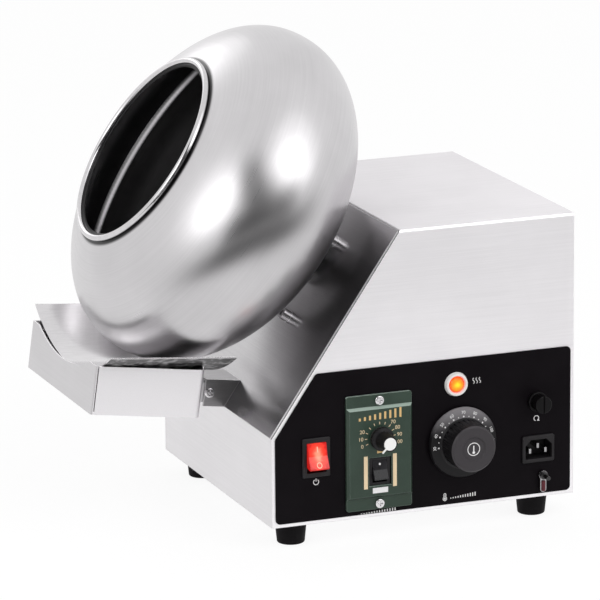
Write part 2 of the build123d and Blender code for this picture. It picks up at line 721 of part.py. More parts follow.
def gear_face(teeth, module, bore):
    """Involute gear section with a tooth centred on the local X axis."""
    pitch = teeth * module / 2
    base = pitch * cos(PRESSURE_ANGLE)
    tip = pitch + module
    root = pitch - 1.25 * module
    low = max(base, root)
    half = pi / (2 * teeth) - BACKLASH / (2 * pitch)
    start = half + tan(PRESSURE_ANGLE) - PRESSURE_ANGLE

    def flank(radius):
        roll = acos(min(1, base / radius))
        return start - tan(roll) + roll

    def point(radius, angle):
        return (radius * cos(angle), radius * sin(angle))

    middle = (low + tip) / 2
    step = 2 * pi / teeth
    edges = []
    for tooth in range(teeth):
        turn = tooth * step
        foot_angle = flank(low)
        left = [point(r, turn - flank(r)) for r in (low, middle, tip)]
        right = [point(r, turn + flank(r)) for r in (tip, middle, low)]
        left_root = point(root, turn - foot_angle)
        right_root = point(root, turn + foot_angle)
        next_root = point(root, turn + step - foot_angle)
        if base > root:
            edges.append(Line(left_root, left[0]))
        edges.append(ThreePointArc(*left))
        edges.append(ThreePointArc(left[-1], point(tip, turn), right[0]))
        edges.append(ThreePointArc(*right))
        if base > root:
            edges.append(Line(right[-1], right_root))
        edges.append(ThreePointArc(right_root, point(root, turn + step / 2), next_root))
    section = make_face(Wire(edges))
    return section - Circle(bore / 2) if bore else section


def gear(teeth, module, bore, z_span, turn):
    low, high = z_span
    body = extrude(gear_face(teeth, module, bore), high - low, dir=(0, 0, 1))
    return Pos(0, 0, low) * Rot(0, 0, turn) * body


def bearing(outer, bore, z_span):
    """A ball bearing: outer and inner ring, with a row of balls held between them."""
    low, high = z_span
    wall = (outer - bore) / 2
    track = (outer + bore) / 4
    ball = wall * 0.24
    race = Pos(0, 0, (low + high) / 2) * Torus(track, ball + RUNNING_FIT)
    outer_ring = tube(outer, outer - wall * 0.62, z_span) - race
    inner_ring = tube(bore + wall * 0.62, bore + 2 * RUNNING_FIT, z_span) - race
    balls = [Pos(0, 0, (low + high) / 2) * Pos(*place) * Sphere(ball) for place in ring_places(track, BALLS)]
    return [outer_ring, inner_ring, *balls]


TAIL_SPAN = (CASE_REAR - TAIL_BEARING_WIDTH, CASE_REAR)
HEAD_SPAN = (CASE_INSIDE, CASE_INSIDE + OUTPUT_BEARING_WIDTH)
FRONT_BUSH = (CASE_INSIDE, CASE_INSIDE + BUSH_LENGTH)
REAR_BUSH = (CASE_REAR - BUSH_LENGTH, CASE_REAR)


def gearhead_bearings():
    head = bearing(OUTPUT_BEARING_OUTER, OUTPUT_SHAFT, HEAD_SPAN)
    tail = bearing(TAIL_BEARING_OUTER, OUTPUT_TAIL, TAIL_SPAN)
    bushes = [tube(BUSH_OUTER, LAYSHAFT + 2 * RUNNING_FIT, span) for span in (FRONT_BUSH, REAR_BUSH)]
    return head + tail + [LAYSHAFT_AXIS * bush for bush in bushes]


def output_shaft():
    shaft = disc(OUTPUT_SHAFT, (SLOW_LOW, HUB_BORE_END - HOLE_CLEARANCE))
    return shaft + disc(OUTPUT_TAIL, (TAIL_SPAN[0], SLOW_LOW))


def layshaft():
    teeth = (SLOW_LOW - PINION_OVERHANG, SLOW_TOP + PINION_OVERHANG)
    turn = OUTPUT_TO_LAY + 180 + 180 / SLOW_PINION_TEETH
    shaft = gear(SLOW_PINION_TEETH, SLOW_MODULE, 0, teeth, turn)
    shaft += disc(LAYSHAFT, (REAR_BUSH[0], FRONT_BUSH[1]))
    return LAYSHAFT_AXIS * (shaft + disc(LAYSHAFT_SEAT, (FAST_LOW, teeth[0])))


def rotor_shaft():
    turn = LAY_TO_MOTOR + 180 + 180 / FAST_PINION_TEETH
    overlap = (FAST_LOW - PINION_OVERHANG, FAST_TOP + PINION_OVERHANG)
    shaft = gear(FAST_PINION_TEETH, FAST_MODULE, 0, overlap, turn)
    neck = FLANGE_REAR + MOTOR_BEARING_WIDTH
    shaft += disc(PINION_NECK, (neck, overlap[0]))
    shaft += disc(ROTOR_SHAFT, (BELL_REAR + 1, neck))
    return MOTOR_AXIS * shaft


parts["output_shaft"] = DRIVE * output_shaft()
parts["output_gear"] = DRIVE * gear(
    SLOW_GEAR_TEETH, SLOW_MODULE, OUTPUT_SHAFT + 2 * FIT, (SLOW_LOW, SLOW_TOP), OUTPUT_TO_LAY
)
parts["layshaft_pinion"] = DRIVE * layshaft()
parts["layshaft_gear"] = DRIVE * LAYSHAFT_AXIS * gear(
    FAST_GEAR_TEETH, FAST_MODULE, LAYSHAFT_SEAT + 2 * FIT, (FAST_LOW, FAST_TOP), LAY_TO_MOTOR
)
parts["rotor_shaft"] = DRIVE * rotor_shaft()
parts["gearhead_bearings"] = DRIVE * group(gearhead_bearings())


# Gearhead case and the plate that closes it
def motor_block(z_span):
    """A square length of the gear motor with rounded corners."""
    body = centred(MOTOR_SQUARE, MOTOR_SQUARE, z_span)
    return MOTOR_AXIS * fillet(body.edges().filter_by(Axis.Z), MOTOR_CORNER)


def bolt_holes(z_span):
    return [place * disc(BOLT + HOLE_CLEARANCE, z_span) for place in bolt_places()]


def gearhead_case():
    case = motor_block((CASE_REAR, CASE_FRONT)) + disc(PILOT_DIAMETER, (CASE_FRONT, CASE_FRONT + PILOT_RISE))
    clear = MOTOR_SQUARE - 2 * GEARCASE_WALL
    hollow = MOTOR_AXIS * centred(clear, clear, (CASE_REAR - 1, CASE_INSIDE))
    posts = [place * disc(2 * GEARCASE_POST, (CASE_REAR - 2, CASE_INSIDE + 1)) for place in bolt_places()]
    case -= hollow - posts
    case -= disc(OUTPUT_BEARING_OUTER + 2 * FIT, HEAD_SPAN)
    case -= disc(OUTPUT_SHAFT + 2 * SHAFT_HOLE_WALL, (CASE_INSIDE, CASE_FRONT + PILOT_RISE + 1))
    case -= LAYSHAFT_AXIS * disc(BUSH_OUTER + 2 * FIT, FRONT_BUSH)
    return case - bolt_holes((CASE_REAR - 1, CASE_FRONT + 1))


def gearhead_plate():
    plate = motor_block((PLATE_REAR, CASE_REAR))
    plate -= disc(TAIL_BEARING_OUTER + 2 * FIT, TAIL_SPAN)
    plate -= LAYSHAFT_AXIS * disc(BUSH_OUTER + 2 * FIT, REAR_BUSH)
    plate -= MOTOR_AXIS * disc(PINION_HOLE, (PLATE_REAR - 1, CASE_REAR + 1))
    return plate - bolt_holes((PLATE_REAR - 1, CASE_REAR + 1))


# Motor
FLANGE_BEARING = (FLANGE_REAR, FLANGE_REAR + MOTOR_BEARING_WIDTH)
BELL_BEARING = (CAN_REAR - MOTOR_BEARING_WIDTH, CAN_REAR)
STATOR_MIDDLE = (FLANGE_REAR + CAN_REAR) / 2
STATOR_SPAN = (STATOR_MIDDLE - STATOR_LENGTH / 2, STATOR_MIDDLE + STATOR_LENGTH / 2)
CAN_BORE = MOTOR_DIAMETER - 2 * MOTOR_WALL


def motor_case():
    flange = motor_block((FLANGE_REAR, PLATE_REAR))
    flange -= bolt_holes((FLANGE_REAR - 1, PLATE_REAR + 1))
    case = flange + MOTOR_AXIS * tube(MOTOR_DIAMETER, CAN_BORE, (CAN_REAR, FLANGE_REAR))
    case -= MOTOR_AXIS * disc(MOTOR_BEARING_OUTER + 2 * FIT, FLANGE_BEARING)
    return case - MOTOR_AXIS * disc(PINION_HOLE, (FLANGE_REAR, PLATE_REAR + 1))


def motor_end_bell():
    bell = disc(MOTOR_DIAMETER, (BELL_REAR, CAN_REAR))
    bell -= disc(MOTOR_BEARING_OUTER + 2 * FIT, BELL_BEARING)
    return MOTOR_AXIS * (bell - disc(ROTOR_SHAFT + 1, (BELL_REAR - 1, CAN_REAR + 1)))


def stator_coils():
    outer = STATOR_BORE + 2 * (COIL_WALL + AIR_GAP)
    inner = STATOR_BORE + 2 * AIR_GAP
    low = (STATOR_SPAN[0] - COIL_LENGTH, STATOR_SPAN[0])
    high = (STATOR_SPAN[1], STATOR_SPAN[1] + COIL_LENGTH)
    return [MOTOR_AXIS * tube(outer, inner, span) for span in (low, high)]


def motor_bolts():
    stack = BOLT_WASHER_HEIGHT
    end = FLANGE_REAR - BOLT_NUT_HEIGHT
    bolt = disc(BOLT_HEAD, (stack, stack + BOLT_HEAD_HEIGHT)) + disc(BOLT, (end, stack))
    bolt -= hexagon(BOLT_HEAD / 2, (stack + BOLT_HEAD_HEIGHT / 2, stack + BOLT_HEAD_HEIGHT + 1))
    washer = tube(BOLT_WASHER, BOLT + HOLE_CLEARANCE, (0, stack / 2))
    spring = tube(BOLT_HEAD, BOLT + HOLE_CLEARANCE, (stack / 2, stack))
    pieces = (bolt, washer, spring, nut(BOLT_NUT, BOLT, (end, FLANGE_REAR)))
    return [place * piece for place in bolt_places() for piece in pieces]


def motor_bearings():
    spans = (FLANGE_BEARING, BELL_BEARING)
    rings = [piece for span in spans for piece in bearing(MOTOR_BEARING_OUTER, ROTOR_SHAFT, span)]
    return [MOTOR_AXIS * piece for piece in rings]


parts["gearhead_case"] = DRIVE * gearhead_case()
parts["gearhead_plate"] = DRIVE * gearhead_plate()
parts["motor_case"] = DRIVE * motor_case()
parts["motor_end_bell"] = DRIVE * motor_end_bell()
parts["stator_core"] = DRIVE * MOTOR_AXIS * tube(CAN_BORE - 2 * FIT, STATOR_BORE, STATOR_SPAN)
parts["stator_coils"] = DRIVE * group(stator_coils())
parts["rotor_core"] = DRIVE * MOTOR_AXIS * tube(STATOR_BORE - 2 * AIR_GAP, ROTOR_SHAFT + 2 * FIT, STATOR_SPAN)
parts["motor_bearings"] = DRIVE * group(motor_bearings())
parts["motor_bolts"] = DRIVE * group(motor_bolts())

# Tray under the pan, in its own tilted frame: origin at the middle of its lower rear edge
LINER_OUTER = LINER_RADIUS + LINER_SHEET
LINER_AXIS_HEIGHT = TRAY_HEIGHT + LINER_SEAT + sqrt(LINER_OUTER**2 - (TRAY_WIDTH / 2 - TRAY_SHEET) ** 2)
NOTCH_RADIUS = (NOTCH_WIDTH / 2) ** 2 / (2 * NOTCH_DEPTH) + NOTCH_DEPTH / 2
ARM_WIDTH = BRACKET_WIDTH - 2 * SHEET - 2 * ARM_CLEARANCE


def across(radius, height, y_span):
    """A round bar lying front to rear."""
    low, high = y_span
    return Pos(0, (low + high) / 2, height) * Rot(90, 0, 0) * Cylinder(radius, high - low)


def sideways(diameter, x_span, place):
    """A round bar lying across the machine at a Y and Z place."""
    low, high = x_span
    return Pos((low + high) / 2, *place) * Rot(0, 90, 0) * Cylinder(diameter / 2, high - low)


def liner_tilt():
    """Turn about the tray's upper front edge that lifts the liner's rear end."""
    return Pos(0, -TRAY_LENGTH, TRAY_HEIGHT) * Rot(LINER_TILT, 0, 0) * Pos(0, TRAY_LENGTH, -TRAY_HEIGHT)


def upright_edges(solid):
    """Edges that stand upright, from the front to the rear."""
    return solid.edges().filter_by(Axis.Z).sort_by(Axis.Y)


def tray_box():
    half = TRAY_WIDTH / 2
    inside = half - TRAY_SHEET
    box = block((-half, half), (-TRAY_LENGTH, 0), (0, TRAY_HEIGHT))
    hollow = block((-inside, inside), (-TRAY_LENGTH + TRAY_SHEET, -TRAY_SHEET), (TRAY_SHEET, TRAY_HEIGHT + 1))
    box = fillet(upright_edges(box)[:2], TRAY_CORNER)
    box = fillet(upright_edges(box)[-2:], TRAY_REAR_CORNER)
    box -= fillet(upright_edges(hollow)[-2:], TRAY_REAR_CORNER - TRAY_SHEET)
    notch_height = TRAY_HEIGHT - NOTCH_DEPTH + NOTCH_RADIUS
    box -= across(NOTCH_RADIUS, notch_height, (-TRAY_LENGTH - 1, -TRAY_LENGTH + 2 * TRAY_SHEET))
    corner = -TRAY_LENGTH + TRAY_CORNER
    box -= block((-half - 1, half + 1), (corner, corner + TRAY_SEAM), (2 * TRAY_SHEET, TRAY_HEIGHT + 1))
    rear_top = TRAY_HEIGHT + TRAY_LENGTH * tan(radians(LINER_TILT))
    rear_half = half - TRAY_REAR_CORNER
    box += block((-rear_half, rear_half), (-TRAY_SHEET, 0), (TRAY_SHEET, rear_top))
    box -= liner_tilt() * across(LINER_OUTER + LINER_SEAT, LINER_AXIS_HEIGHT, (-TRAY_LENGTH / 2, TRAY_LENGTH))
    return box - across(WIRE_HOLE / 2, PIVOT_HEIGHT, (-2 * TRAY_SHEET, 1))


def tray_liner():
    y_span = (-TRAY_LENGTH + LINER_SETBACK, LINER_OVERHANG)
    half = LINER_WIDTH / 2
    sheet = across(LINER_OUTER, LINER_AXIS_HEIGHT, y_span)
    sheet -= across(LINER_RADIUS, LINER_AXIS_HEIGHT, (y_span[0] - 1, y_span[1] + 1))
    sheet = sheet & block((-half, half), y_span, (0, LINER_AXIS_HEIGHT - LINER_RADIUS / 2))
    return liner_tilt() * sheet


def tray_arm():
    half = ARM_WIDTH / 2
    low = PIVOT_HEIGHT - EAR_RADIUS
    high = PIVOT_HEIGHT + EAR_RADIUS
    ear = sideways(2 * EAR_RADIUS, (-half, half), (ARM_REACH, PIVOT_HEIGHT))
    arm = block((-half, half), (0, ARM_REACH), (low, high)) + ear
    inner = half - TRAY_SHEET
    beyond = ARM_REACH + 2 * EAR_RADIUS
    arm -= block((-inner, inner), (-1, beyond), (low - 1, high - TRAY_SHEET))
    arm -= block((-half - 1, half + 1), (ARM_TOP_LENGTH, beyond), (high - TRAY_SHEET, high + 1))
    arm += block((-ARM_FLANGE_WIDTH / 2, ARM_FLANGE_WIDTH / 2), (0, TRAY_SHEET), (TRAY_SHEET, high))
    arm -= across(WIRE_HOLE / 2, PIVOT_HEIGHT, (-1, 2 * TRAY_SHEET))
    return arm - sideways(PIVOT_SCREW + 2 * RUNNING_FIT, (-half - 1, half + 1), (ARM_REACH, PIVOT_HEIGHT))


def tray_bracket():
    half = BRACKET_WIDTH / 2
    rear = BRACKET_FRONT + BRACKET_REACH
    channel = block((-half, half), (BRACKET_FRONT, rear), (BRACKET_BOTTOM, BRACKET_TOP))
    inner = half - SHEET
    hollow = (BRACKET_FRONT - 1, rear + 1)
    channel -= block((-inner, inner), hollow, (BRACKET_BOTTOM - 1, BRACKET_TOP - SHEET))
    channel -= sideways(PIVOT_SCREW + HOLE_CLEARANCE, (-half - 1, half + 1), (ARM_REACH, PIVOT_HEIGHT))
    return TRAY * channel - prism(OUTLINE, (-SIDE_X, SIDE_X))


def pivot_screws():
    """A screw and its nut on each side of the bracket, on the tray's tilt axis."""
    pieces = []
    for side in (-1, 1):
        place = Plane(
            origin=(side * BRACKET_WIDTH / 2, ARM_REACH, PIVOT_HEIGHT), x_dir=(0, side, 0), z_dir=(side, 0, 0)
        )
        seat = -SHEET - 2 * ARM_CLEARANCE - TRAY_SHEET
        length = -seat + NUT_HEIGHT + 1
        pieces.append(place * screw(1.7 * PIVOT_SCREW, SMALL_HEAD_HEIGHT, PIVOT_SCREW, length))
        pieces.append(place * nut(NUT_WIDTH, PIVOT_SCREW, (seat - NUT_HEIGHT, seat)))
    return pieces


def heating_element():
    side = ELEMENT_SPACING / 2
    front = -TRAY_LENGTH + ELEMENT_FRONT_GAP
    rear = front + ELEMENT_LENGTH
    path = FilletPolyline(
        (-side, rear, ELEMENT_HEIGHT),
        (-side, front, ELEMENT_HEIGHT),
        (side, front, ELEMENT_HEIGHT),
        (side, rear, ELEMENT_HEIGHT),
        radius=ELEMENT_BEND,
    )
    section = Plane(origin=path @ 0, z_dir=path % 0) * Circle(ELEMENT_DIAMETER / 2)
    element = sweep(section, path)
    pin = across(TERMINAL_PIN / 2, ELEMENT_HEIGHT, (rear, rear + TERMINAL_PIN_LENGTH))
    return element + [Pos(place, 0) * pin for place in (-side, side)]


def element_supports():
    half = SUPPORT_WIDTH / 2
    middle = -TRAY_LENGTH + ELEMENT_FRONT_GAP + ELEMENT_LENGTH / 2 + ELEMENT_BEND / 2
    bars = []
    for side in (-1, 1):
        centre = middle + side * SUPPORT_SPACING / 2
        span = (centre - SUPPORT_THICKNESS / 2, centre + SUPPORT_THICKNESS / 2)
        bar = block((-half, half), span, (TRAY_SHEET, ELEMENT_HEIGHT))
        cradle = across(ELEMENT_DIAMETER / 2 + RUNNING_FIT, ELEMENT_HEIGHT, (span[0] - 1, span[1] + 1))
        bars.append(bar - [Pos(place * ELEMENT_SPACING / 2, 0) * cradle for place in (-1, 1)])
    return bars


parts["tray_box"] = TRAY * tray_box()
parts["tray_liner"] = TRAY * tray_liner()
parts["tray_arm"] = TRAY * tray_arm()
parts["tray_bracket"] = tray_bracket()
parts["pivot_screws"] = TRAY * group(pivot_screws())
parts["heating_element"] = TRAY * heating_element()
parts["element_supports"] = TRAY * group(element_supports())


# Rocker switches
def rocker(size, crown):
    """A rocker about its pivot, with its upper end pressed in."""
    width, height = size
    reach = height / 2
    profile = make_face(
        Polyline(
            (-reach * 0.5, -TRUNNION_DEPTH * 2),
            (reach * 0.5, -TRUNNION_DEPTH * 2),
            (reach, TRUNNION_DEPTH + crown),
            (0, TRUNNION_DEPTH + crown * 0.7),
            (-reach, TRUNNION_DEPTH + crown),
            close=True,
        )
    )
    profile = profile & Circle(reach)
    side = Plane(origin=(-width / 2, 0, 0), x_dir=(0, 1, 0), z_dir=(1, 0, 0))
    body = extrude(side * profile, width, dir=(1, 0, 0))
    body += sideways(TRUNNION, (-width / 2 - TRUNNION_REACH, width / 2 + TRUNNION_REACH), (0, 0))
    return Rot(-ROCKER_TILT, 0, 0) * body


def rocker_housing(bezel, body, depth, size):
    """The bezel and box that a rocker sits in; the bezel's front is at its own thickness."""
    width, height, front = bezel
    pivot = front - TRUNNION_DEPTH
    frame = centred(width, height, (0, front))
    frame = fillet(frame.edges().filter_by(Axis.Z), 1.2)
    frame = chamfer(frame.faces().sort_by(Axis.Z)[-1].edges(), 0.6)
    frame += centred(body[0], body[1], (-depth, 0))
    slack = 2 * ROCKER_CLEARANCE
    frame -= centred(size[0] + slack, size[1] + slack, (pivot - size[1] / 2, front + 1))
    trunnion = size[0] + 2 * (TRUNNION_REACH + RUNNING_FIT)
    return frame - sideways(TRUNNION + 2 * RUNNING_FIT, (-trunnion / 2, trunnion / 2), (0, pivot))


RUN_LEVEL = CONTROLLER_RAISED - RUN_BEZEL_SINK - RUN_BEZEL[2]
SWITCH_PIVOT = SWITCH_BEZEL[2] - TRUNNION_DEPTH
RUN_PIVOT = RUN_LEVEL + RUN_BEZEL[2] - TRUNNION_DEPTH

parts["power_switch_body"] = SWITCH * rocker_housing(
    SWITCH_BEZEL, SWITCH_BODY, SWITCH_BODY_DEPTH, SWITCH_ROCKER
)
parts["power_rocker"] = SWITCH * Pos(0, 0, SWITCH_PIVOT) * rocker(SWITCH_ROCKER, SWITCH_CROWN)
parts["run_switch_body"] = RUN_SWITCH * Pos(0, 0, RUN_LEVEL) * rocker_housing(
    RUN_BEZEL, RUN_BODY, RUN_BODY_DEPTH, RUN_ROCKER
)
parts["run_rocker"] = RUN_SWITCH * Pos(0, 0, RUN_PIVOT) * rocker(RUN_ROCKER, RUN_CROWN)


# Speed controller
def speed_controller_case():
    wide, tall, thick = CONTROLLER_PLATE
    plate = centred(wide, tall, (0, thick))
    plate = fillet(plate.edges().filter_by(Axis.Z), 2)
    raised = centred(wide, tall - 2 * CONTROLLER_STRIP, (0, CONTROLLER_RAISED))
    raised = chamfer(raised.faces().sort_by(Axis.Z)[-1].edges(), CONTROLLER_BEVEL)
    box_wide, box_tall, box_deep = CONTROLLER_BOX
    box = centred(box_wide, box_tall, (-box_deep, 0))
    wall = 2 * CONTROLLER_WALL
    box -= centred(box_wide - wall, box_tall - wall, (-box_deep + CONTROLLER_WALL, 0))
    case = plate + raised + box
    slack = 2 * SEAM_GAP
    window = centred(RUN_BEZEL[0] + slack, RUN_BEZEL[1] + slack, (RUN_LEVEL, CONTROLLER_RAISED + 1))
    window += centred(RUN_BODY[0] + slack, RUN_BODY[1] + slack, (-1, CONTROLLER_RAISED))
    case -= Pos(0, RUN_SWITCH_ABOVE) * window
    case -= Pos(0, SPEED_ABOVE) * disc(POT_BUSHING + HOLE_CLEARANCE, (-1, CONTROLLER_RAISED + 1))
    hole = disc(SMALL_SCREW + HOLE_CLEARANCE, (-1, CONTROLLER_RAISED))
    return case - [Pos(0, side * CONTROLLER_SCREW_RISE) * hole for side in (-1, 1)]


def controller_screws():
    thick = CONTROLLER_PLATE[2]
    body = Pos(0, 0, thick) * screw(SMALL_HEAD, SMALL_HEAD_HEIGHT, SMALL_SCREW, thick + WALL + NUT_HEIGHT + 1)
    backing = nut(NUT_WIDTH, SMALL_SCREW, (-WALL - NUT_HEIGHT, -WALL))
    return [Pos(0, side * CONTROLLER_SCREW_RISE) * piece for side in (-1, 1) for piece in (body, backing)]


POT_NUT_TOP = CONTROLLER_RAISED + POT_NUT_HEIGHT
SPEED_BASE = POT_NUT_TOP + HOLE_CLEARANCE
SPEED_FACE = SPEED_BASE + SPEED_KNOB_HEIGHT
POT_SHAFT_END = SPEED_FACE - SPEED_CAP_HEIGHT - 3


def speed_potentiometer():
    body = disc(POT_DIAMETER, (-POT_DEPTH, 0)) + disc(POT_BUSHING, (0, POT_NUT_TOP))
    return body - disc(POT_SHAFT + 2 * RUNNING_FIT, (-POT_DEPTH / 2, POT_NUT_TOP + 1))


def speed_knob():
    skirt = SPEED_SKIRT / 2
    grip = SPEED_GRIP / 2
    body = turned(
        [
            (0, SPEED_BASE),
            (skirt, SPEED_BASE),
            (skirt, SPEED_BASE + SPEED_SKIRT_HEIGHT),
            (grip + 1, SPEED_BASE + SPEED_SKIRT_HEIGHT + 2),
            (grip, SPEED_FACE),
            (0, SPEED_FACE),
        ]
    )
    body = fluted(body, SPEED_SKIRT, SPEED_FLUTES, SPEED_FLUTE, (SPEED_BASE - 1, SPEED_FACE))
    body -= disc(SPEED_CAP + 2 * FIT, (SPEED_FACE - SPEED_CAP_HEIGHT, SPEED_FACE + 1))
    return body - disc(POT_SHAFT + 2 * FIT, (SPEED_BASE - 1, POT_SHAFT_END))


def speed_knob_cap():
    """The cap and the pointer that sticks out of its edge over the knob's face."""
    cap = disc(SPEED_CAP, (SPEED_FACE - SPEED_CAP_HEIGHT, SPEED_FACE + SPEED_CAP_HEIGHT / 2))
    cap = fillet(cap.edges().group_by(Axis.Z)[-1], SPEED_CAP_HEIGHT / 4)
    wide, thick = SPEED_POINTER
    low = SPEED_FACE + FIT
    pointer = block((0, SPEED_POINTER_REACH), (-wide / 2, wide / 2), (low, low + thick))
    return cap + Rot(0, 0, SPEED_POINTER_ANGLE) * pointer


parts["speed_controller_case"] = CONTROLLER * speed_controller_case()
parts["speed_potentiometer"] = SPEED * speed_potentiometer()
parts["potentiometer_shaft"] = SPEED * disc(POT_SHAFT, (-POT_DEPTH / 2 + FIT, POT_SHAFT_END))
parts["speed_knob"] = SPEED * speed_knob()
parts["speed_knob_cap"] = SPEED * speed_knob_cap()


# Heat lamp
def heat_lamp_bezel():
    flange = LAMP_FLANGE / 2
    bore = LAMP_BORE / 2
    ring = turned(
        [(bore, 0), (flange, 0), (flange - 1, LAMP_RIM), (bore + 0.8, LAMP_RIM), (bore, LAMP_RIM / 2)]
    )
    ring += tube(LAMP_BARREL, LAMP_BORE, (-LAMP_DEPTH, 0))
    return ring + disc(LAMP_BARREL, (-LAMP_DEPTH, -LENS_DEPTH))


def heat_lamp_lens():
    radius = LAMP_BORE / 2 - LENS_CLEARANCE
    dome = turned(
        [
            (0, -LENS_DEPTH),
            (radius, -LENS_DEPTH),
            (radius, LENS_RISE - 2),
            (radius - 2, LENS_RISE),
            (0, LENS_RISE),
        ]
    )
    return fillet(dome.edges().group_by(Axis.Z)[-1], 1)


parts["heat_lamp_bezel"] = LAMP * heat_lamp_bezel()
parts["heat_lamp_lens"] = LAMP * heat_lamp_lens()
parts["panel_nuts"] = group(
    [
        LAMP * nut(LAMP_NUT, LAMP_BARREL, (-WALL - LAMP_NUT_HEIGHT, -WALL)),
        SPEED * nut(POT_NUT, POT_BUSHING, (CONTROLLER_RAISED, POT_NUT_TOP)),
    ]
)

# Thermostat and its knob
DIAL_TOP = DIAL_GAP + DIAL_SKIRT_HEIGHT
DIAL_FACE = DIAL_TOP + DIAL_GRIP_HEIGHT


def thermostat_body():
    wide, tall, deep = THERMOSTAT_BODY
    body = centred(wide, tall, (-WALL - deep, -WALL))
    body += disc(THERMOSTAT_BUSHING, (-WALL, DIAL_GAP - HOLE_CLEARANCE))
    hole = disc(SMALL_SCREW + 2 * FIT, (-WALL - SMALL_SCREW * 2, 1))
    body -= [Pos(side * THERMOSTAT_SCREW_SPACING / 2, 0) * hole for side in (-1, 1)]
    return body - disc(THERMOSTAT_SHAFT + 2 * RUNNING_FIT, (-WALL - deep / 2, DIAL_GAP))


def thermostat_screws():
    body = screw(SMALL_HEAD, DIAL_GAP * 0.8, SMALL_SCREW, WALL + SMALL_SCREW)
    return [Pos(side * THERMOSTAT_SCREW_SPACING / 2, 0) * body for side in (-1, 1)]


def temperature_knob():
    skirt = DIAL_SKIRT / 2
    grip = DIAL_GRIP / 2
    dish = grip - DIAL_DISH_RIM
    body = turned(
        [
            (0, DIAL_GAP),
            (skirt, DIAL_GAP),
            (skirt, DIAL_GAP + 1.5),
            (skirt - 1, DIAL_TOP - 1),
            (grip + 1.5, DIAL_TOP),
            (grip, DIAL_TOP + 1.5),
            (grip - 0.8, DIAL_FACE - 1.5),
            (grip - 2.3, DIAL_FACE),
            (dish, DIAL_FACE),
            (dish - 1, DIAL_FACE - DIAL_DISH),
            (0, DIAL_FACE - DIAL_DISH),
        ]
    )
    body = fluted(body, DIAL_GRIP, DIAL_FLUTES, DIAL_FLUTE, (DIAL_TOP + 1.5, DIAL_FACE + 1))
    return body - disc(THERMOSTAT_SHAFT + 2 * FIT, (DIAL_GAP - 1, DIAL_GAP + SHAFT_IN_KNOB))


parts["thermostat_body"] = DIAL * thermostat_body()
parts["control_screws"] = group(
    [CONTROLLER * piece for piece in controller_screws()] + [DIAL * piece for piece in thermostat_screws()]
)
parts["thermostat_shaft"] = DIAL * disc(
    THERMOSTAT_SHAFT, (-WALL - THERMOSTAT_BODY[2] / 2 + FIT, DIAL_GAP + SHAFT_IN_KNOB)
)
parts["temperature_knob"] = DIAL * temperature_knob()

# Overheat cut-out with its reset pin under a slotted cap
CAP_LOW = RESET_COLLAR_HEIGHT + RESET_CAP_GAP
CAP_HIGH = CAP_LOW + RESET_CAP_HEIGHT


def overheat_cutout():
    wide, tall, deep = CUTOUT_BODY
    body = centred(wide, tall, (-WALL - deep, -WALL)) + disc(RESET_NECK, (-WALL, RESET_NECK_RISE))
    low = RESET_PIN_RISE - RESET_PIN_LENGTH - RESET_TRAVEL - 1
    return body - disc(RESET_PIN + 2 * RUNNING_FIT, (low, RESET_NECK_RISE + 1))


def reset_collar():
    shape = RegularPolygon(RESET_COLLAR / 2, RESET_COLLAR_SIDES)
    collar = extrude(shape, RESET_COLLAR_HEIGHT)
    collar = chamfer(collar.faces().sort_by(Axis.Z)[-1].edges(), 0.6)
    return collar - disc(RESET_NECK + 2 * FIT, (-1, RESET_COLLAR_HEIGHT + 1))


def reset_cap():
    cap = disc(RESET_CAP, (CAP_LOW, CAP_HIGH))
    cap = fillet(cap.edges().group_by(Axis.Z)[-1], 0.8)
    cap = fluted(cap, RESET_CAP, RESET_FLUTES, RESET_FLUTE, (CAP_LOW - 1, CAP_HIGH - 2))
    cap -= disc(RESET_NECK + 2 * RUNNING_FIT, (CAP_LOW - 1, CAP_HIGH - RESET_CAP_ROOF))
    wide, deep = RESET_SLOT
    return cap - centred(wide, RESET_CAP + 1, (CAP_HIGH - deep, CAP_HIGH + 1))


parts["overheat_cutout"] = RESET * overheat_cutout()
parts["reset_collar"] = RESET * reset_collar()
parts["reset_cap"] = RESET * reset_cap()
parts["reset_pin"] = RESET * disc(RESET_PIN, (RESET_PIN_RISE - RESET_PIN_LENGTH, RESET_PIN_RISE))


# Mains inlet
def inlet_pin_places():
    side = INLET_PIN_SPACING / 2
    return [Pos(-side, INLET_PIN_DROP), Pos(side, INLET_PIN_DROP), Pos(0, INLET_EARTH_RISE)]


def inlet_pins():
    wide, tall, long = INLET_PIN
    floor = INLET_BEZEL[2] - INLET_SOCKET[2]
    pin = centred(wide, tall, (-INLET_BODY[2] - INLET_TAB, floor + long - 1))
    return [place * pin for place in inlet_pin_places()]


def power_inlet():
    wide, tall, front = INLET_BEZEL
    frame = centred(wide, tall, (0, front))
    frame = fillet(frame.edges().filter_by(Axis.Z), 2)
    frame = chamfer(frame.faces().sort_by(Axis.Z)[-1].edges(), 0.7)
    frame += centred(INLET_BODY[0], INLET_BODY[1], (-INLET_BODY[2], 0))
    x = INLET_SOCKET[0] / 2
    y = INLET_SOCKET[1] / 2
    cut = INLET_CHAMFER
    corners = [(-x, -y), (x, -y), (x, y - cut), (x - cut, y), (cut - x, y), (-x, y - cut)]
    socket = extrude(make_face(Polyline(*corners, close=True)), INLET_SOCKET[2] + 1, dir=(0, 0, 1))
    frame -= Pos(0, 0, front - INLET_SOCKET[2]) * socket
    return frame - inlet_pins()


parts["power_inlet"] = INLET * power_inlet()
parts["inlet_pins"] = INLET * group(inlet_pins())


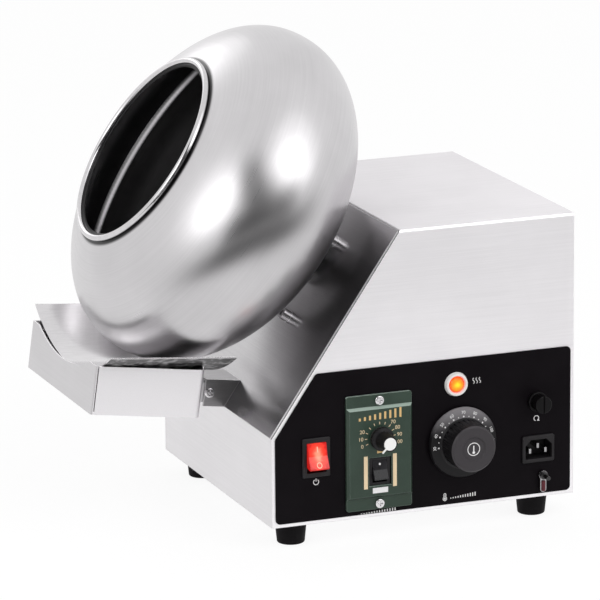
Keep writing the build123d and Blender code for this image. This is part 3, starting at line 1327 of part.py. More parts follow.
# Earth terminal
def earth_lug():
    """A ring terminal whose tongue hangs down from the stud."""
    straight = LUG_LENGTH - LUG_TONGUE / 2
    flat = Circle(LUG_EYE / 2) + Pos(0, -straight / 2) * Rectangle(LUG_TONGUE, straight)
    flat += Pos(0, -straight) * Circle(LUG_TONGUE / 2)
    eye = extrude(flat - Circle(EARTH_SCREW / 2 + HOLE_CLEARANCE / 2), LUG_SHEET)
    return Pos(0, 0, EARTH_NUT_HEIGHT) * eye


def lug_sleeve():
    """The insulated end of the wire, lying along the tongue."""
    front = EARTH_NUT_HEIGHT + LUG_SHEET
    low = -LUG_LENGTH + SLEEVE_END_GAP
    half = SLEEVE_DIAMETER / 2
    sleeve = fillet(across(half, front, (low, low + SLEEVE_LENGTH)).edges(), 0.6)
    return sleeve & block((-half, half), (low, low + SLEEVE_LENGTH), (front, front + half))


def earth_stud():
    inside = -WALL - 2 * NUT_HEIGHT
    outside = EARTH_NUT_HEIGHT + LUG_SHEET
    return [
        disc(EARTH_SCREW, (inside, EARTH_REACH)),
        nut(NUT_WIDTH, EARTH_SCREW, (-WALL - NUT_HEIGHT, -WALL)),
        nut(EARTH_NUT, EARTH_SCREW, (0, EARTH_NUT_HEIGHT)),
        nut(EARTH_NUT, EARTH_SCREW, (outside, outside + EARTH_NUT_HEIGHT)),
    ]


parts["earth_stud"] = EARTH * group(earth_stud())
parts["earth_lug"] = EARTH * earth_lug()
parts["earth_lug_sleeve"] = EARTH * lug_sleeve()


# Parts on the base plate
def on_base(place):
    return Pos(place[0], place[1], BASE_Z + SHEET)


def motor_capacitor():
    wide, deep, tall = CAPACITOR
    body = centred(wide, deep, (0, tall))
    return fillet(body.edges().filter_by(Axis.Y).group_by(Axis.Z)[-1], 3)


parts["motor_capacitor"] = on_base(CAPACITOR_PLACE) * motor_capacitor()

os.makedirs("parts", exist_ok=True)
for name, shape in parts.items():
    export_step(shape, f"parts/{name}.step")
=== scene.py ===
from math import cos, pi, radians, sin

import bmesh
import bpy
from mathutils import Matrix, Quaternion, Vector
from mathutils.bvhtree import BVHTree


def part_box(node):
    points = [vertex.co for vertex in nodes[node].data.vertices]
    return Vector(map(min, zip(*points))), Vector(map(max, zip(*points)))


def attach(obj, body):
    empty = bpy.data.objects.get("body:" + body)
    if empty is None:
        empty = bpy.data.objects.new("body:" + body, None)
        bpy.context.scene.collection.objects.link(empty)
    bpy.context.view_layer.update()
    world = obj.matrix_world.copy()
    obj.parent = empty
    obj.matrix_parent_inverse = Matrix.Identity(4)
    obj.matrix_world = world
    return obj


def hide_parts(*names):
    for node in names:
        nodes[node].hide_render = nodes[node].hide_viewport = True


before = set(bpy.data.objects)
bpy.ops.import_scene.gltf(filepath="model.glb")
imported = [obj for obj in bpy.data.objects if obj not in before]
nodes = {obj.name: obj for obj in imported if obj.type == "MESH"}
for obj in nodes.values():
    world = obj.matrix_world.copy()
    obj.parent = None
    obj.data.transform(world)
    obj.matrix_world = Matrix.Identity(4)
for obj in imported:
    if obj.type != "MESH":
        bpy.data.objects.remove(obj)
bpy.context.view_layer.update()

# Sizes in metres, in the part's own frame: X to the control side, Y to the rear, Z up.
SLOPE_FOOT = Vector((0.0, -0.135, 0.096))
SLOPE_ANGLE = radians(55.2395)
PAN_UP_SLOPE = 0.147
DRIVE_ORIGIN = SLOPE_FOOT + PAN_UP_SLOPE * Vector((0, cos(SLOPE_ANGLE), sin(SLOPE_ANGLE)))
DRIVE_AXIS = Vector((0, -sin(SLOPE_ANGLE), cos(SLOPE_ANGLE)))
PAN_OUT = 0.103
PAN_RADIUS = 0.150
PAN_WALL = 0.0015
PAN_FULLNESS = 2.25
PAN_MOUTH_RISE = 0.073
PAN_MOUTH_RADIUS = 0.0835
PAN_FRONT_DEPTH = 0.0838
PAN_REAR_DEPTH = 0.095
PAN_BACK_GAP = 0.016
WELD_FORWARD = 0.018
WELD_WIDTH = 0.0085
WELD_RISE = 0.0012
WELD_RIPPLES = 260
SLOPE_SEAM_X = 0.1275
PANEL_X = 0.1298
SKIRT_X = PANEL_X + 0.0075
KNOB_FRONT_X = PANEL_X + 0.0268
OUTSIDE_X = 0.3
INK = 0.00005


def middle(name):
    """The middle of a node's box."""
    low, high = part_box(name)
    return (low + high) / 2


DIAL = middle("temperature_knob")
SPEED = middle("speed_knob")
RUN = middle("run_switch_body")
POWER = middle("power_switch_body")


# Nodes of any tree
def node(tree, kind, inputs=None, **settings):
    """Adds a node, sets it, and links or fills its inputs by name or place."""
    made = tree.nodes.new(kind)
    for key, value in settings.items():
        setattr(made, key, value)
    for key, value in (inputs or {}).items():
        if isinstance(value, bpy.types.NodeSocket):
            tree.links.new(value, made.inputs[key])
        else:
            made.inputs[key].default_value = value
    return made


def sums(tree, operation, first, second=0.0, third=0.0, clamp=False, kind="ShaderNodeMath"):
    """One sum; gives its result."""
    given = {0: first, 1: second, 2: third}
    return node(tree, kind, given, operation=operation, use_clamp=clamp).outputs[0]


def blend_value(tree, factor, low, high):
    """A value that runs from low to high as factor runs from 0 to 1."""
    given = {"Value": factor, "To Min": low, "To Max": high}
    return node(tree, "ShaderNodeMapRange", given, clamp=True).outputs["Result"]


def blend_colour(tree, factor, low, high):
    """A colour that runs from low to high as factor runs from 0 to 1."""
    made = node(tree, "ShaderNodeMix", {"Factor": factor}, data_type="RGBA")
    for place, value in ((6, low), (7, high)):
        if isinstance(value, bpy.types.NodeSocket):
            tree.links.new(value, made.inputs[place])
        else:
            made.inputs[place].default_value = value
    return made.outputs[2]


def ramp(tree, factor, low, high):
    """A step softened between two values of factor, from 0 to 1."""
    given = {"Value": factor, "From Min": low, "From Max": high}
    return node(tree, "ShaderNodeMapRange", given, interpolation_type="SMOOTHSTEP").outputs["Result"]


def noise(tree, vector, scale, detail=2.0, rough=0.5):
    """Cloudy noise, from 0 to 1."""
    given = {"Vector": vector, "Scale": scale, "Detail": detail, "Roughness": rough}
    return node(tree, "ShaderNodeTexNoise", given).outputs["Fac"]


def where(tree):
    """Object coordinates."""
    return node(tree, "ShaderNodeTexCoord").outputs["Object"]


def place_along(tree, axis):
    """One of the Object coordinates."""
    return node(tree, "ShaderNodeSeparateXYZ", {0: where(tree)}).outputs[axis]


def round_axis(tree, radius, turn, height=0.0):
    """A place at a radius from the upright axis, turned round it."""
    across, up = (sums(tree, "MULTIPLY", radius, sums(tree, part, turn)) for part in ("COSINE", "SINE"))
    return node(tree, "ShaderNodeCombineXYZ", {0: across, 1: up, 2: height}).outputs[0]


def bare_tree(owner):
    """The emptied node tree of a material or a world."""
    owner.use_nodes = True
    owner.node_tree.nodes.clear()
    return owner.node_tree


def shade_between(tree, share, first, second, end="ShaderNodeOutputMaterial"):
    """Ends a tree in two shaders mixed by a share."""
    mixed = node(tree, "ShaderNodeMixShader", {0: share, 1: first.outputs[0], 2: second.outputs[0]})
    tree.links.new(mixed.outputs[0], node(tree, end).inputs["Surface"])


def effect(name, inputs, outputs):
    """A shader node group with named inputs and outputs; gives the tree and its two ends."""
    tree = bpy.data.node_groups.new(name, "ShaderNodeTree")
    for label, kind, value in inputs:
        socket = tree.interface.new_socket(label, in_out="INPUT", socket_type=kind)
        socket.default_value = value
    for label, kind in outputs:
        tree.interface.new_socket(label, in_out="OUTPUT", socket_type=kind)
    return tree, tree.nodes.new("NodeGroupInput").outputs, tree.nodes.new("NodeGroupOutput").inputs


FLOAT, VECTOR = "NodeSocketFloat", "NodeSocketVector"


# Effects that several finishes share
def sheet_grain():
    """Fine lines along one direction of a sheet, and the soft clouds of a polished surface."""
    tree, given, out = effect(
        "sheet_grain",
        [("Stretch", VECTOR, (1, 0.02, 1)), ("Lines", FLOAT, 900.0), ("Clouds", FLOAT, 14.0)],
        [("Line", FLOAT), ("Cloud", FLOAT)],
    )
    place = where(tree)
    along = node(tree, "ShaderNodeVectorMath", {0: place, 1: given["Stretch"]}, operation="MULTIPLY")
    fine = noise(tree, along.outputs[0], given["Lines"], 4.0, 0.7)
    tree.links.new(ramp(tree, fine, 0.3, 0.7), out["Line"])
    tree.links.new(ramp(tree, noise(tree, place, given["Clouds"], 3.0), 0.3, 0.7), out["Cloud"])
    return tree


def edge_wear_and_sheen():
    """Softened edges: a normal rounded over the edge, and a mask of where the edge is. The finishes make edges
    paler by this mask, as wear and as painted highlight.
    """
    tree, given, out = effect("edge_wear_and_sheen", [("Radius", FLOAT, 0.0005)], [("Edge", FLOAT), ("Normal", VECTOR)])
    round_normal = node(tree, "ShaderNodeBevel", {"Radius": given["Radius"]}, samples=6).outputs["Normal"]
    flat_normal = node(tree, "ShaderNodeNewGeometry").outputs["Normal"]
    same = node(tree, "ShaderNodeVectorMath", {0: round_normal, 1: flat_normal}, operation="DOT_PRODUCT")
    turned_away = sums(tree, "SUBTRACT", 1.0, same.outputs["Value"])
    tree.links.new(ramp(tree, turned_away, 0.01, 0.12), out["Edge"])
    tree.links.new(round_normal, out["Normal"])
    return tree


def moulded_skin():
    """The fine pitted skin of a moulding, and its slow change of gloss."""
    tree, given, out = effect(
        "moulded_skin",
        [("Pits", FLOAT, 2600.0), ("Clouds", FLOAT, 40.0)],
        [("Pit", FLOAT), ("Cloud", FLOAT)],
    )
    place = where(tree)
    cells = node(tree, "ShaderNodeTexVoronoi", {"Vector": place, "Scale": given["Pits"]})
    rough = noise(tree, place, given["Pits"], 3.0, 0.6)
    pit = sums(tree, "MULTIPLY", ramp(tree, cells.outputs["Distance"], 0.1, 0.7), rough)
    tree.links.new(pit, out["Pit"])
    tree.links.new(ramp(tree, noise(tree, place, given["Clouds"], 3.0), 0.3, 0.7), out["Cloud"])
    return tree


def hair_scratches():
    """A few thin scratches lying every way."""
    tree, given, out = effect("hair_scratches", [("Scale", FLOAT, 60.0)], [("Scratch", FLOAT)])
    place = where(tree)
    worn = None
    for turn in (0.4, 1.5, 2.6):
        turned = node(tree, "ShaderNodeMapping", {"Vector": place, "Rotation": (turn, turn * 1.7, turn * 0.6)})
        long = node(
            tree, "ShaderNodeVectorMath", {0: turned.outputs[0], 1: (1.0, 0.03, 1.0)}, operation="MULTIPLY"
        )
        line = noise(tree, long.outputs[0], given["Scale"], 1.0)
        band = sums(tree, "ABSOLUTE", sums(tree, "SUBTRACT", line, 0.5))
        thin = sums(tree, "SUBTRACT", 1.0, ramp(tree, band, 0.0, 0.004))
        worn = thin if worn is None else sums(tree, "MAXIMUM", worn, thin)
    here = ramp(tree, noise(tree, place, 30.0, 2.0), 0.55, 0.7)
    tree.links.new(sums(tree, "MULTIPLY", worn, here), out["Scratch"])
    return tree


SHEET_GRAIN = sheet_grain()
EDGE_WEAR_AND_SHEEN = edge_wear_and_sheen()
MOULDED_SKIN = moulded_skin()
HAIR_SCRATCHES = hair_scratches()


def placed(tree, group, inputs):
    """An effect in a finish, with that finish's own values."""
    made = node(tree, "ShaderNodeGroup", node_tree=group)
    for key, value in inputs.items():
        made.inputs[key].default_value = value
    return made.outputs


def paint(red, green, blue):
    """A colour from its display values, 0 to 255."""
    shares = [value / 255 for value in (red, green, blue)]
    light = [s / 12.92 if s <= 0.04045 else ((s + 0.055) / 1.055) ** 2.4 for s in shares]
    return (*light, 1.0)


def grey(level):
    """The grey of a bare metal."""
    return (level, level * 0.98, level, 1.0)


finishes = {}


def finish(name, constants):
    """An empty finish; gives its tree and its shader, with the values that hold all over it."""
    material = bpy.data.materials.get(name) or bpy.data.materials.new(name)
    tree = bare_tree(material)
    shader = node(tree, "ShaderNodeBsdfPrincipled")
    for key, value in constants.items():
        shader.inputs[key].default_value = value
    output = node(tree, "ShaderNodeOutputMaterial")
    tree.links.new(shader.outputs[0], output.inputs["Surface"])
    finishes[name] = material
    return tree, shader


def bumped(tree, shader, height, depth, normal):
    """Feeds a height into the shader's normal."""
    given = {"Height": height, "Distance": depth, "Strength": 1.0, "Normal": normal}
    tree.links.new(node(tree, "ShaderNodeBump", given).outputs[0], shader.inputs["Normal"])


ALONG_Y = (1.0, 0.012, 1.0)
ALONG_X = (0.012, 1.0, 1.0)
EVERY_WAY = (1.0, 1.0, 1.0)


def sheet_metal(
    name, dull, bright, smooth, rough, stretch, lines=900.0, depth=0.000004, edge=0.0005, scratch=0.3, worked=(),
    rubbed=None, painted_dark_mask=None,
):
    """Rolled or ground metal: grain along one direction, clouds of gloss, hair scratches, edges brighter as wear
    and as painted highlight.
    worked lists masks of this tree, each with the tone and roughness of the faces it covers; these tones are mostly
    painted light and painted shade on faces turned one way.
    The tone given for edges is painted highlight; without it edges are a little brighter than the sheet.
    The mask of dark faces paints them dark in patches with paler specks, as painted shade with painted glints, and
    takes the metal off them."""
    tree, shader = finish(name, {"Metallic": 1.0})
    grain = placed(tree, SHEET_GRAIN, {"Stretch": stretch, "Lines": lines})
    edges = placed(tree, EDGE_WEAR_AND_SHEEN, {"Radius": edge})
    marks = placed(tree, HAIR_SCRATCHES, {})["Scratch"]
    mixed = sums(tree, "MULTIPLY_ADD", grain["Line"], 0.55, sums(tree, "MULTIPLY", grain["Cloud"], 0.45))
    tone = blend_colour(tree, mixed, grey(dull), grey(bright))
    gloss = blend_value(tree, sums(tree, "SUBTRACT", 1.0, mixed), smooth, rough)
    # Edges brighter: wear and painted highlight.
    rim = edges["Edge"] if rubbed else sums(tree, "MULTIPLY", edges["Edge"], 0.5)
    tone = blend_colour(tree, rim, tone, grey(rubbed or min(1.0, bright + 0.12)))
    for mask_of, other_tone, other_gloss in worked:
        mask = mask_of(tree)
        other = blend_colour(tree, mixed, grey(other_tone * 0.92), grey(other_tone))
        tone = blend_colour(tree, mask, tone, other)
        gloss = blend_value(tree, mask, gloss, other_gloss)
    # Painted shade: the masked faces are painted dark in mottled patches, with paler painted glints.
    if painted_dark_mask:
        painted_dark = painted_dark_mask(tree)
        patches = ramp(tree, noise(tree, where(tree), 150.0, 3.0), 0.44, 0.68)
        painted_dark_tone = blend_colour(tree, patches, grey(0.012), grey(0.34))
        tone = blend_colour(tree, painted_dark, tone, painted_dark_tone)
        gloss = blend_value(tree, painted_dark, gloss, 0.34)
        tree.links.new(sums(tree, "SUBTRACT", 1.0, painted_dark), shader.inputs["Metallic"])
    tree.links.new(tone, shader.inputs["Base Color"])
    gloss = sums(tree, "MULTIPLY_ADD", marks, 0.12 * scratch, gloss)
    tree.links.new(gloss, shader.inputs["Roughness"])
    height = sums(tree, "MULTIPLY_ADD", marks, -scratch, grain["Line"])
    bumped(tree, shader, height, depth, edges["Normal"])


def moulding(
    name, colour, worn, smooth, rough, pits=2600.0, depth=0.000012, edge=0.0004, shine=0.35, rubbed=None, worked=()
):
    """Moulded plastic or rubber: pitted skin, clouds of gloss and edges worn paler; a tone given for edges is
    painted highlight. worked lists masks of this tree and the colours of the faces they cover; these colours are
    painted highlights."""
    tree, shader = finish(name, {"Specular IOR Level": shine})
    skin = placed(tree, MOULDED_SKIN, {"Pits": pits})
    edges = placed(tree, EDGE_WEAR_AND_SHEEN, {"Radius": edge})
    speck = sums(tree, "MULTIPLY_ADD", skin["Cloud"], 0.25, sums(tree, "MULTIPLY", skin["Pit"], 0.25))
    tone = blend_colour(tree, speck, colour, worn)
    for mask, covered in worked:
        tone = blend_colour(tree, mask(tree), tone, covered)
    # Edges paler: wear in the worn colour, painted highlight where an edge tone is given.
    tone = blend_colour(tree, sums(tree, "MULTIPLY", edges["Edge"], 0.45), tone, rubbed or worn)
    tree.links.new(tone, shader.inputs["Base Color"])
    tree.links.new(blend_value(tree, skin["Cloud"], smooth, rough), shader.inputs["Roughness"])
    bumped(tree, shader, skin["Pit"], depth, edges["Normal"])


def glowing(name, centre, reach, strength, rough, hot, warm, rim):
    """A lit lens or button: hottest over its lamp, deeper in colour towards its rim, with a diffusing skin."""
    tree, shader = finish(name, {"Roughness": rough, "Emission Strength": strength, "Specular IOR Level": 0.5})
    away = node(tree, "ShaderNodeVectorMath", {0: where(tree), 1: centre}, operation="SUBTRACT").outputs[0]
    flat = node(tree, "ShaderNodeVectorMath", {0: away, 1: (0.0, 1 / reach[0], 1 / reach[1])}, operation="MULTIPLY")
    far = node(tree, "ShaderNodeVectorMath", {0: flat.outputs[0]}, operation="LENGTH").outputs["Value"]
    skin = placed(tree, MOULDED_SKIN, {"Pits": 1500.0, "Clouds": 300.0})
    far = sums(tree, "MULTIPLY_ADD", sums(tree, "SUBTRACT", skin["Cloud"], 0.5), 0.16, far)
    glow = blend_colour(tree, ramp(tree, far, 0.05, 0.62), hot, warm)
    glow = blend_colour(tree, ramp(tree, far, 0.6, 1.1), glow, rim)
    tree.links.new(glow, shader.inputs["Emission Color"])
    tree.links.new(blend_colour(tree, ramp(tree, far, 0.2, 1.0), warm, rim), shader.inputs["Base Color"])
    edges = placed(tree, EDGE_WEAR_AND_SHEEN, {"Radius": 0.0004})
    bumped(tree, shader, skin["Pit"], 0.00002, edges["Normal"])


def printed(name, colour, faded):
    """Printing ink: a little uneven, as screen printing is."""
    tree, shader = finish(name, {"Specular IOR Level": 0.25})
    skin = placed(tree, MOULDED_SKIN, {"Pits": 5000.0, "Clouds": 900.0})
    tree.links.new(blend_colour(tree, skin["Pit"], colour, faded), shader.inputs["Base Color"])
    tree.links.new(blend_value(tree, skin["Cloud"], 0.4, 0.6), shader.inputs["Roughness"])


def below_slope(tree):
    """The upright front under the slope."""
    height = place_along(tree, "Z")
    return sums(tree, "SUBTRACT", 1.0, ramp(tree, height, SLOPE_FOOT.z - 0.001, SLOPE_FOOT.z + 0.001))


def facing(axis, low, high):
    """A mask of the faces whose normal's share along an axis runs from low to high."""

    def mask(tree):
        normal = node(tree, "ShaderNodeNewGeometry").outputs["Normal"]
        return ramp(tree, node(tree, "ShaderNodeSeparateXYZ", {0: normal}).outputs[axis], low, high)

    return mask


def slope_border_highlight(tree):
    """The bend along the slope's seams with the sides, where a painted highlight goes."""
    across = sums(tree, "ABSOLUTE", place_along(tree, "X"))
    border = ramp(tree, across, SLOPE_SEAM_X - 0.0030, SLOPE_SEAM_X - 0.0022)
    return sums(tree, "SUBTRACT", border, below_slope(tree), clamp=True)


def slope_seam_shade(tree):
    """The cut edges of the sides along the slope, where the seam's gap is painted nearly black as painted shade."""
    across = sums(tree, "ABSOLUTE", place_along(tree, "X"))
    side = ramp(tree, across, SLOPE_SEAM_X - 0.0004, SLOPE_SEAM_X)
    cut = sums(tree, "MULTIPLY", facing("Y", -0.6, -0.75)(tree), facing("Z", 0.3, 0.5)(tree))
    return sums(tree, "MULTIPLY", side, cut)


def above_widest(tree):
    """Height along the pan's axis over its widest place."""
    along = node(tree, "ShaderNodeVectorMath", {0: where(tree), 1: DRIVE_AXIS}, operation="DOT_PRODUCT")
    return sums(tree, "SUBTRACT", along.outputs["Value"], DRIVE_ORIGIN.dot(DRIVE_AXIS) + PAN_OUT)


def weld_flank(tree):
    """The sides of the weld's bead, away from its crown."""
    away = sums(tree, "ABSOLUTE", sums(tree, "SUBTRACT", above_widest(tree), WELD_FORWARD))
    return ramp(tree, away, WELD_WIDTH * 0.06, WELD_WIDTH * 0.46)


def knob_front_sheen(tree):
    """The front face of the temperature knob, where a paler painted sheen goes."""
    return ramp(tree, place_along(tree, "X"), KNOB_FRONT_X - 0.0002, KNOB_FRONT_X + 0.0002)


def skirt_top_highlight(tree):
    """The upper part of the temperature knob's skirt, where a paler painted highlight goes."""
    high = ramp(tree, place_along(tree, "Z"), DIAL.z + 0.006, DIAL.z + 0.030)
    return sums(tree, "MULTIPLY", high, ramp(tree, place_along(tree, "X"), SKIRT_X + 0.0004, SKIRT_X + 0.0001))


# Finishes of the sheet metal and the machine inside
LOOKS_UP = facing("Z", 0.7, 0.95)
LOOKS_DOWN = facing("Z", -0.05, -0.3)
LOOKS_AHEAD = facing("Y", -0.3, -0.7)
LOOKS_RIGHT = facing("X", 0.6, 0.9)
# Painted light: the top face is painted darker as painted shade, the right side paler as painted light, the cut
# edges along the slope nearly black as painted shade in the seam, and the edges brighter as wear and painted
# highlight.
sheet_metal(
    "housing_steel", 0.80, 0.85, 0.50, 0.58, ALONG_Y, edge=0.0011, scratch=0.4,
    worked=[(LOOKS_UP, 0.78, 0.80), (LOOKS_RIGHT, 0.98, 0.54), (slope_seam_shade, 0.06, 0.5)],
)
# Painted highlight: the bend along the slope's border is painted near white.
sheet_metal(
    "slope_steel", 0.50, 0.56, 0.19, 0.25, ALONG_X, depth=0.0000006, edge=0.0011, scratch=0.1,
    worked=[(below_slope, 0.78, 0.34), (slope_border_highlight, 0.95, 0.75)],
)
sheet_metal("bead_steel", 0.58, 0.68, 0.08, 0.14, EVERY_WAY, lines=300.0, depth=0.000002)
# Painted shade: faces looking ahead are painted darker than the sides.
sheet_metal("tray_steel", 0.90, 0.95, 0.46, 0.54, ALONG_X, worked=[(LOOKS_AHEAD, 0.64, 0.36)])
# Painted shade: faces looking down are painted dark in mottled patches, with paler painted glints.
sheet_metal("liner_steel", 0.62, 0.72, 0.08, 0.15, ALONG_Y, painted_dark_mask=LOOKS_DOWN)
# Painted shade and highlight: the bracket is painted darker than the tray's steel, and its edges near white.
sheet_metal("bracket_steel", 0.26, 0.36, 0.30, 0.38, ALONG_Y, edge=0.0008, rubbed=0.98)
sheet_metal("fastener_steel", 0.66, 0.80, 0.12, 0.22, EVERY_WAY, lines=500.0, edge=0.0003)
sheet_metal("machined_steel", 0.20, 0.26, 0.30, 0.38, EVERY_WAY, lines=350.0, depth=0.0000005)
sheet_metal("bearing_steel", 0.62, 0.74, 0.12, 0.20, EVERY_WAY, lines=700.0)
sheet_metal("case_aluminium", 0.52, 0.66, 0.42, 0.55, EVERY_WAY, lines=1200.0, depth=0.00003)
sheet_metal("lamination", 0.20, 0.34, 0.45, 0.60, (0.05, 0.05, 1.0), lines=1600.0)
sheet_metal("element_steel", 0.30, 0.44, 0.35, 0.50, EVERY_WAY, lines=700.0)
sheet_metal("pin_bright", 0.34, 0.46, 0.12, 0.22, EVERY_WAY, lines=700.0, edge=0.0002)
sheet_metal("weld_steel", 0.92, 0.98, 0.82, 0.92, EVERY_WAY, lines=1500.0, worked=[(weld_flank, 0.10, 0.5)])
sheet_metal("blacked_steel", 0.05, 0.09, 0.28, 0.40, EVERY_WAY)

# Finishes of the mouldings
moulding("fascia_black", paint(17, 14, 17), paint(26, 23, 26), 0.34, 0.42, pits=3200.0, depth=0.000006, shine=0.04)
moulding("foot_rubber", paint(9, 7, 9), paint(26, 23, 26), 0.62, 0.75, pits=1500.0, depth=0.00004, shine=0.12)
moulding("motor_paint", paint(26, 26, 28), paint(74, 74, 76), 0.30, 0.42, pits=900.0, depth=0.00004)
moulding("capacitor_grey", paint(128, 130, 132), paint(160, 160, 160), 0.40, 0.50)
moulding("support_ceramic", paint(222, 214, 196), paint(240, 236, 226), 0.55, 0.68, pits=1200.0)
moulding("switch_black", paint(18, 16, 18), paint(60, 57, 60), 0.34, 0.44, pits=2200.0, shine=0.26)
moulding("rocker_black", paint(22, 21, 24), paint(66, 64, 70), 0.26, 0.36, pits=2200.0)
# Painted highlights: faces turned partly up and the edges are painted pale green.
moulding(
    "controller_green", paint(40, 57, 46), paint(70, 90, 78), 0.30, 0.40, pits=1800.0, edge=0.0006,
    rubbed=paint(176, 190, 181), worked=[(facing("Z", 0.2, 0.4), paint(150, 168, 157))],
)
# Painted highlights: the top of the skirt and the front face are painted paler than the black.
moulding(
    "knob_black", paint(12, 11, 13), paint(40, 38, 41), 0.34, 0.46, pits=2400.0, shine=0.22,
    worked=[(skirt_top_highlight, paint(132, 129, 132)), (knob_front_sheen, paint(62, 59, 62))],
)
moulding("cap_white", paint(248, 247, 245), paint(252, 252, 250), 0.34, 0.44, pits=2400.0, depth=0.000006)
moulding("lamp_bezel", paint(236, 233, 231), paint(250, 249, 248), 0.30, 0.40, pits=2400.0, depth=0.000006)
moulding("body_dark", paint(20, 19, 21), paint(58, 56, 58), 0.38, 0.48, pits=2200.0)
moulding("reset_black", paint(7, 6, 7), paint(34, 31, 34), 0.34, 0.44, pits=2200.0, shine=0.16)
moulding("sleeve_red", paint(78, 20, 30), paint(130, 56, 64), 0.38, 0.5, pits=1800.0)


def coil_copper():
    """Enamelled wire wound round the stator: fine turns over lacquered copper."""
    tree, shader = finish("copper", {"Metallic": 1.0, "Coat Weight": 0.5})
    grain = placed(tree, SHEET_GRAIN, {"Stretch": (1.0, 0.2, 0.2), "Lines": 900.0})
    tone = blend_colour(tree, grain["Line"], paint(120, 62, 34), paint(206, 128, 84))
    tree.links.new(tone, shader.inputs["Base Color"])
    tree.links.new(blend_value(tree, grain["Cloud"], 0.28, 0.42), shader.inputs["Roughness"])
    edges = placed(tree, EDGE_WEAR_AND_SHEEN, {"Radius": 0.0006})
    bumped(tree, shader, grain["Line"], 0.0001, edges["Normal"])


coil_copper()
glowing(
    "rocker_red", middle("power_rocker") + Vector((0, 0, 0.001)), reach=(0.0085, 0.0135), strength=0.85, rough=0.22,
    hot=paint(255, 168, 136), warm=paint(244, 62, 44), rim=paint(168, 22, 20),
)
glowing(
    "lamp_orange", middle("heat_lamp_lens"), reach=(0.0068, 0.0068), strength=0.9, rough=0.25,
    hot=paint(255, 214, 30), warm=paint(255, 132, 10), rim=paint(214, 52, 12),
)
printed("ink_white", paint(246, 245, 245), paint(226, 225, 225))
printed("ink_cream", paint(244, 222, 186), paint(226, 200, 160))
printed("ink_lit", paint(255, 214, 186), paint(255, 190, 160))
printed("ink_gold", paint(236, 200, 140), paint(208, 170, 112))


def spun_steel():
    """The pan: rings from spinning, satin outside, and painted shade inside: its tones are painted dark there."""
    tree, shader = finish("pan_steel", {"Metallic": 1.0})
    turning = node(tree, "ShaderNodeUVMap", uv_map="turning").outputs["UV"]
    rings = node(tree, "ShaderNodeVectorMath", {0: turning, 1: (420.0, 5.0, 0.0)}, operation="MULTIPLY")
    ring = ramp(tree, noise(tree, rings.outputs[0], 1.0, 5.0, 0.7), 0.3, 0.7)
    cloud = ramp(tree, noise(tree, where(tree), 16.0, 3.0), 0.3, 0.7)
    marks = placed(tree, HAIR_SCRATCHES, {"Scale": 45.0})["Scratch"]
    inside = node(tree, "ShaderNodeAttribute", attribute_name="inside").outputs["Fac"]
    mixed = sums(tree, "MULTIPLY_ADD", ring, 0.5, sums(tree, "MULTIPLY", cloud, 0.5))
    outer = blend_colour(tree, mixed, grey(0.56), grey(0.64))
    # Painted shade inside: darkest ahead of the weld, a little less dark behind it.
    ahead = blend_colour(tree, mixed, grey(0.14), grey(0.20))
    behind = blend_colour(tree, mixed, grey(0.20), grey(0.27))
    rise = above_widest(tree)
    inside_shade = blend_colour(tree, ramp(tree, rise, WELD_FORWARD - 0.004, WELD_FORWARD + 0.012), behind, ahead)
    tone = blend_colour(tree, inside, outer, inside_shade)
    # Painted shade: a dark line in the crevice where the pan meets its mouth bead.
    bead_crevice_shade = ramp(tree, rise, PAN_MOUTH_RISE - 0.0022, PAN_MOUTH_RISE - 0.0012)
    tone = blend_colour(tree, bead_crevice_shade, tone, grey(0.04))
    tree.links.new(tone, shader.inputs["Base Color"])
    satin = blend_value(tree, mixed, 0.33, 0.27)
    worked = blend_value(tree, mixed, 0.36, 0.26)
    gloss = blend_value(tree, inside, satin, worked)
    gloss = sums(tree, "MULTIPLY_ADD", marks, 0.03, gloss)
    tree.links.new(gloss, shader.inputs["Roughness"])
    flat = node(tree, "ShaderNodeNewGeometry").outputs["Normal"]
    bumped(tree, shader, sums(tree, "MULTIPLY_ADD", marks, -0.3, ring), 0.000004, flat)


spun_steel()

# Every node of the frame takes the finish of its slot
for made in nodes.values():
    for place in made.material_slots:
        place.material = finishes[place.material.name.split(".")[0]]
# The bracket takes its own darker steel, as painted shade.
nodes["tray_bracket"].material_slots[0].material = finishes["bracket_steel"]


# Pieces
def link(name, mesh, finish_name=None):
    """Puts a mesh in the scene, and in a finish where one is named."""
    made = bpy.data.objects.new(name, mesh)
    bpy.context.scene.collection.objects.link(made)
    if finish_name:
        mesh.materials.clear()
        mesh.materials.append(finishes[finish_name])
    return made


def grown(name, tree, sizes, finish_name):
    """Runs a geometry tree with its named sizes and keeps the plain mesh."""
    seed = bpy.data.objects.new(name + "_seed", bpy.data.meshes.new(name + "_seed"))
    bpy.context.scene.collection.objects.link(seed)
    modifier = seed.modifiers.new(name, "NODES")
    modifier.node_group = tree
    by_name = {item.name: item for item in tree.interface.items_tree if item.in_out == "INPUT"}
    for label, value in {**sizes, "Finish": finishes[finish_name]}.items():
        modifier[by_name[label].identifier] = value
    seen = seed.evaluated_get(bpy.context.evaluated_depsgraph_get())
    mesh = bpy.data.meshes.new_from_object(seen)
    mesh.name = name
    seed.modifiers.remove(modifier)
    bpy.data.objects.remove(seed)
    return mesh


def growth(name, inputs):
    """A geometry tree with named inputs; gives the tree, its inputs and the end of it."""
    tree = bpy.data.node_groups.new(name, "GeometryNodeTree")
    tree.is_modifier = True
    tree.interface.new_socket("Geometry", in_out="OUTPUT", socket_type="NodeSocketGeometry")
    for label, kind, value in inputs:
        socket = tree.interface.new_socket(label, in_out="INPUT", socket_type=kind)
        socket.default_value = value
    tree.interface.new_socket("Finish", in_out="INPUT", socket_type="NodeSocketMaterial")
    given = tree.nodes.new("NodeGroupInput").outputs
    end = tree.nodes.new("NodeGroupOutput").inputs[0]
    return tree, given, end


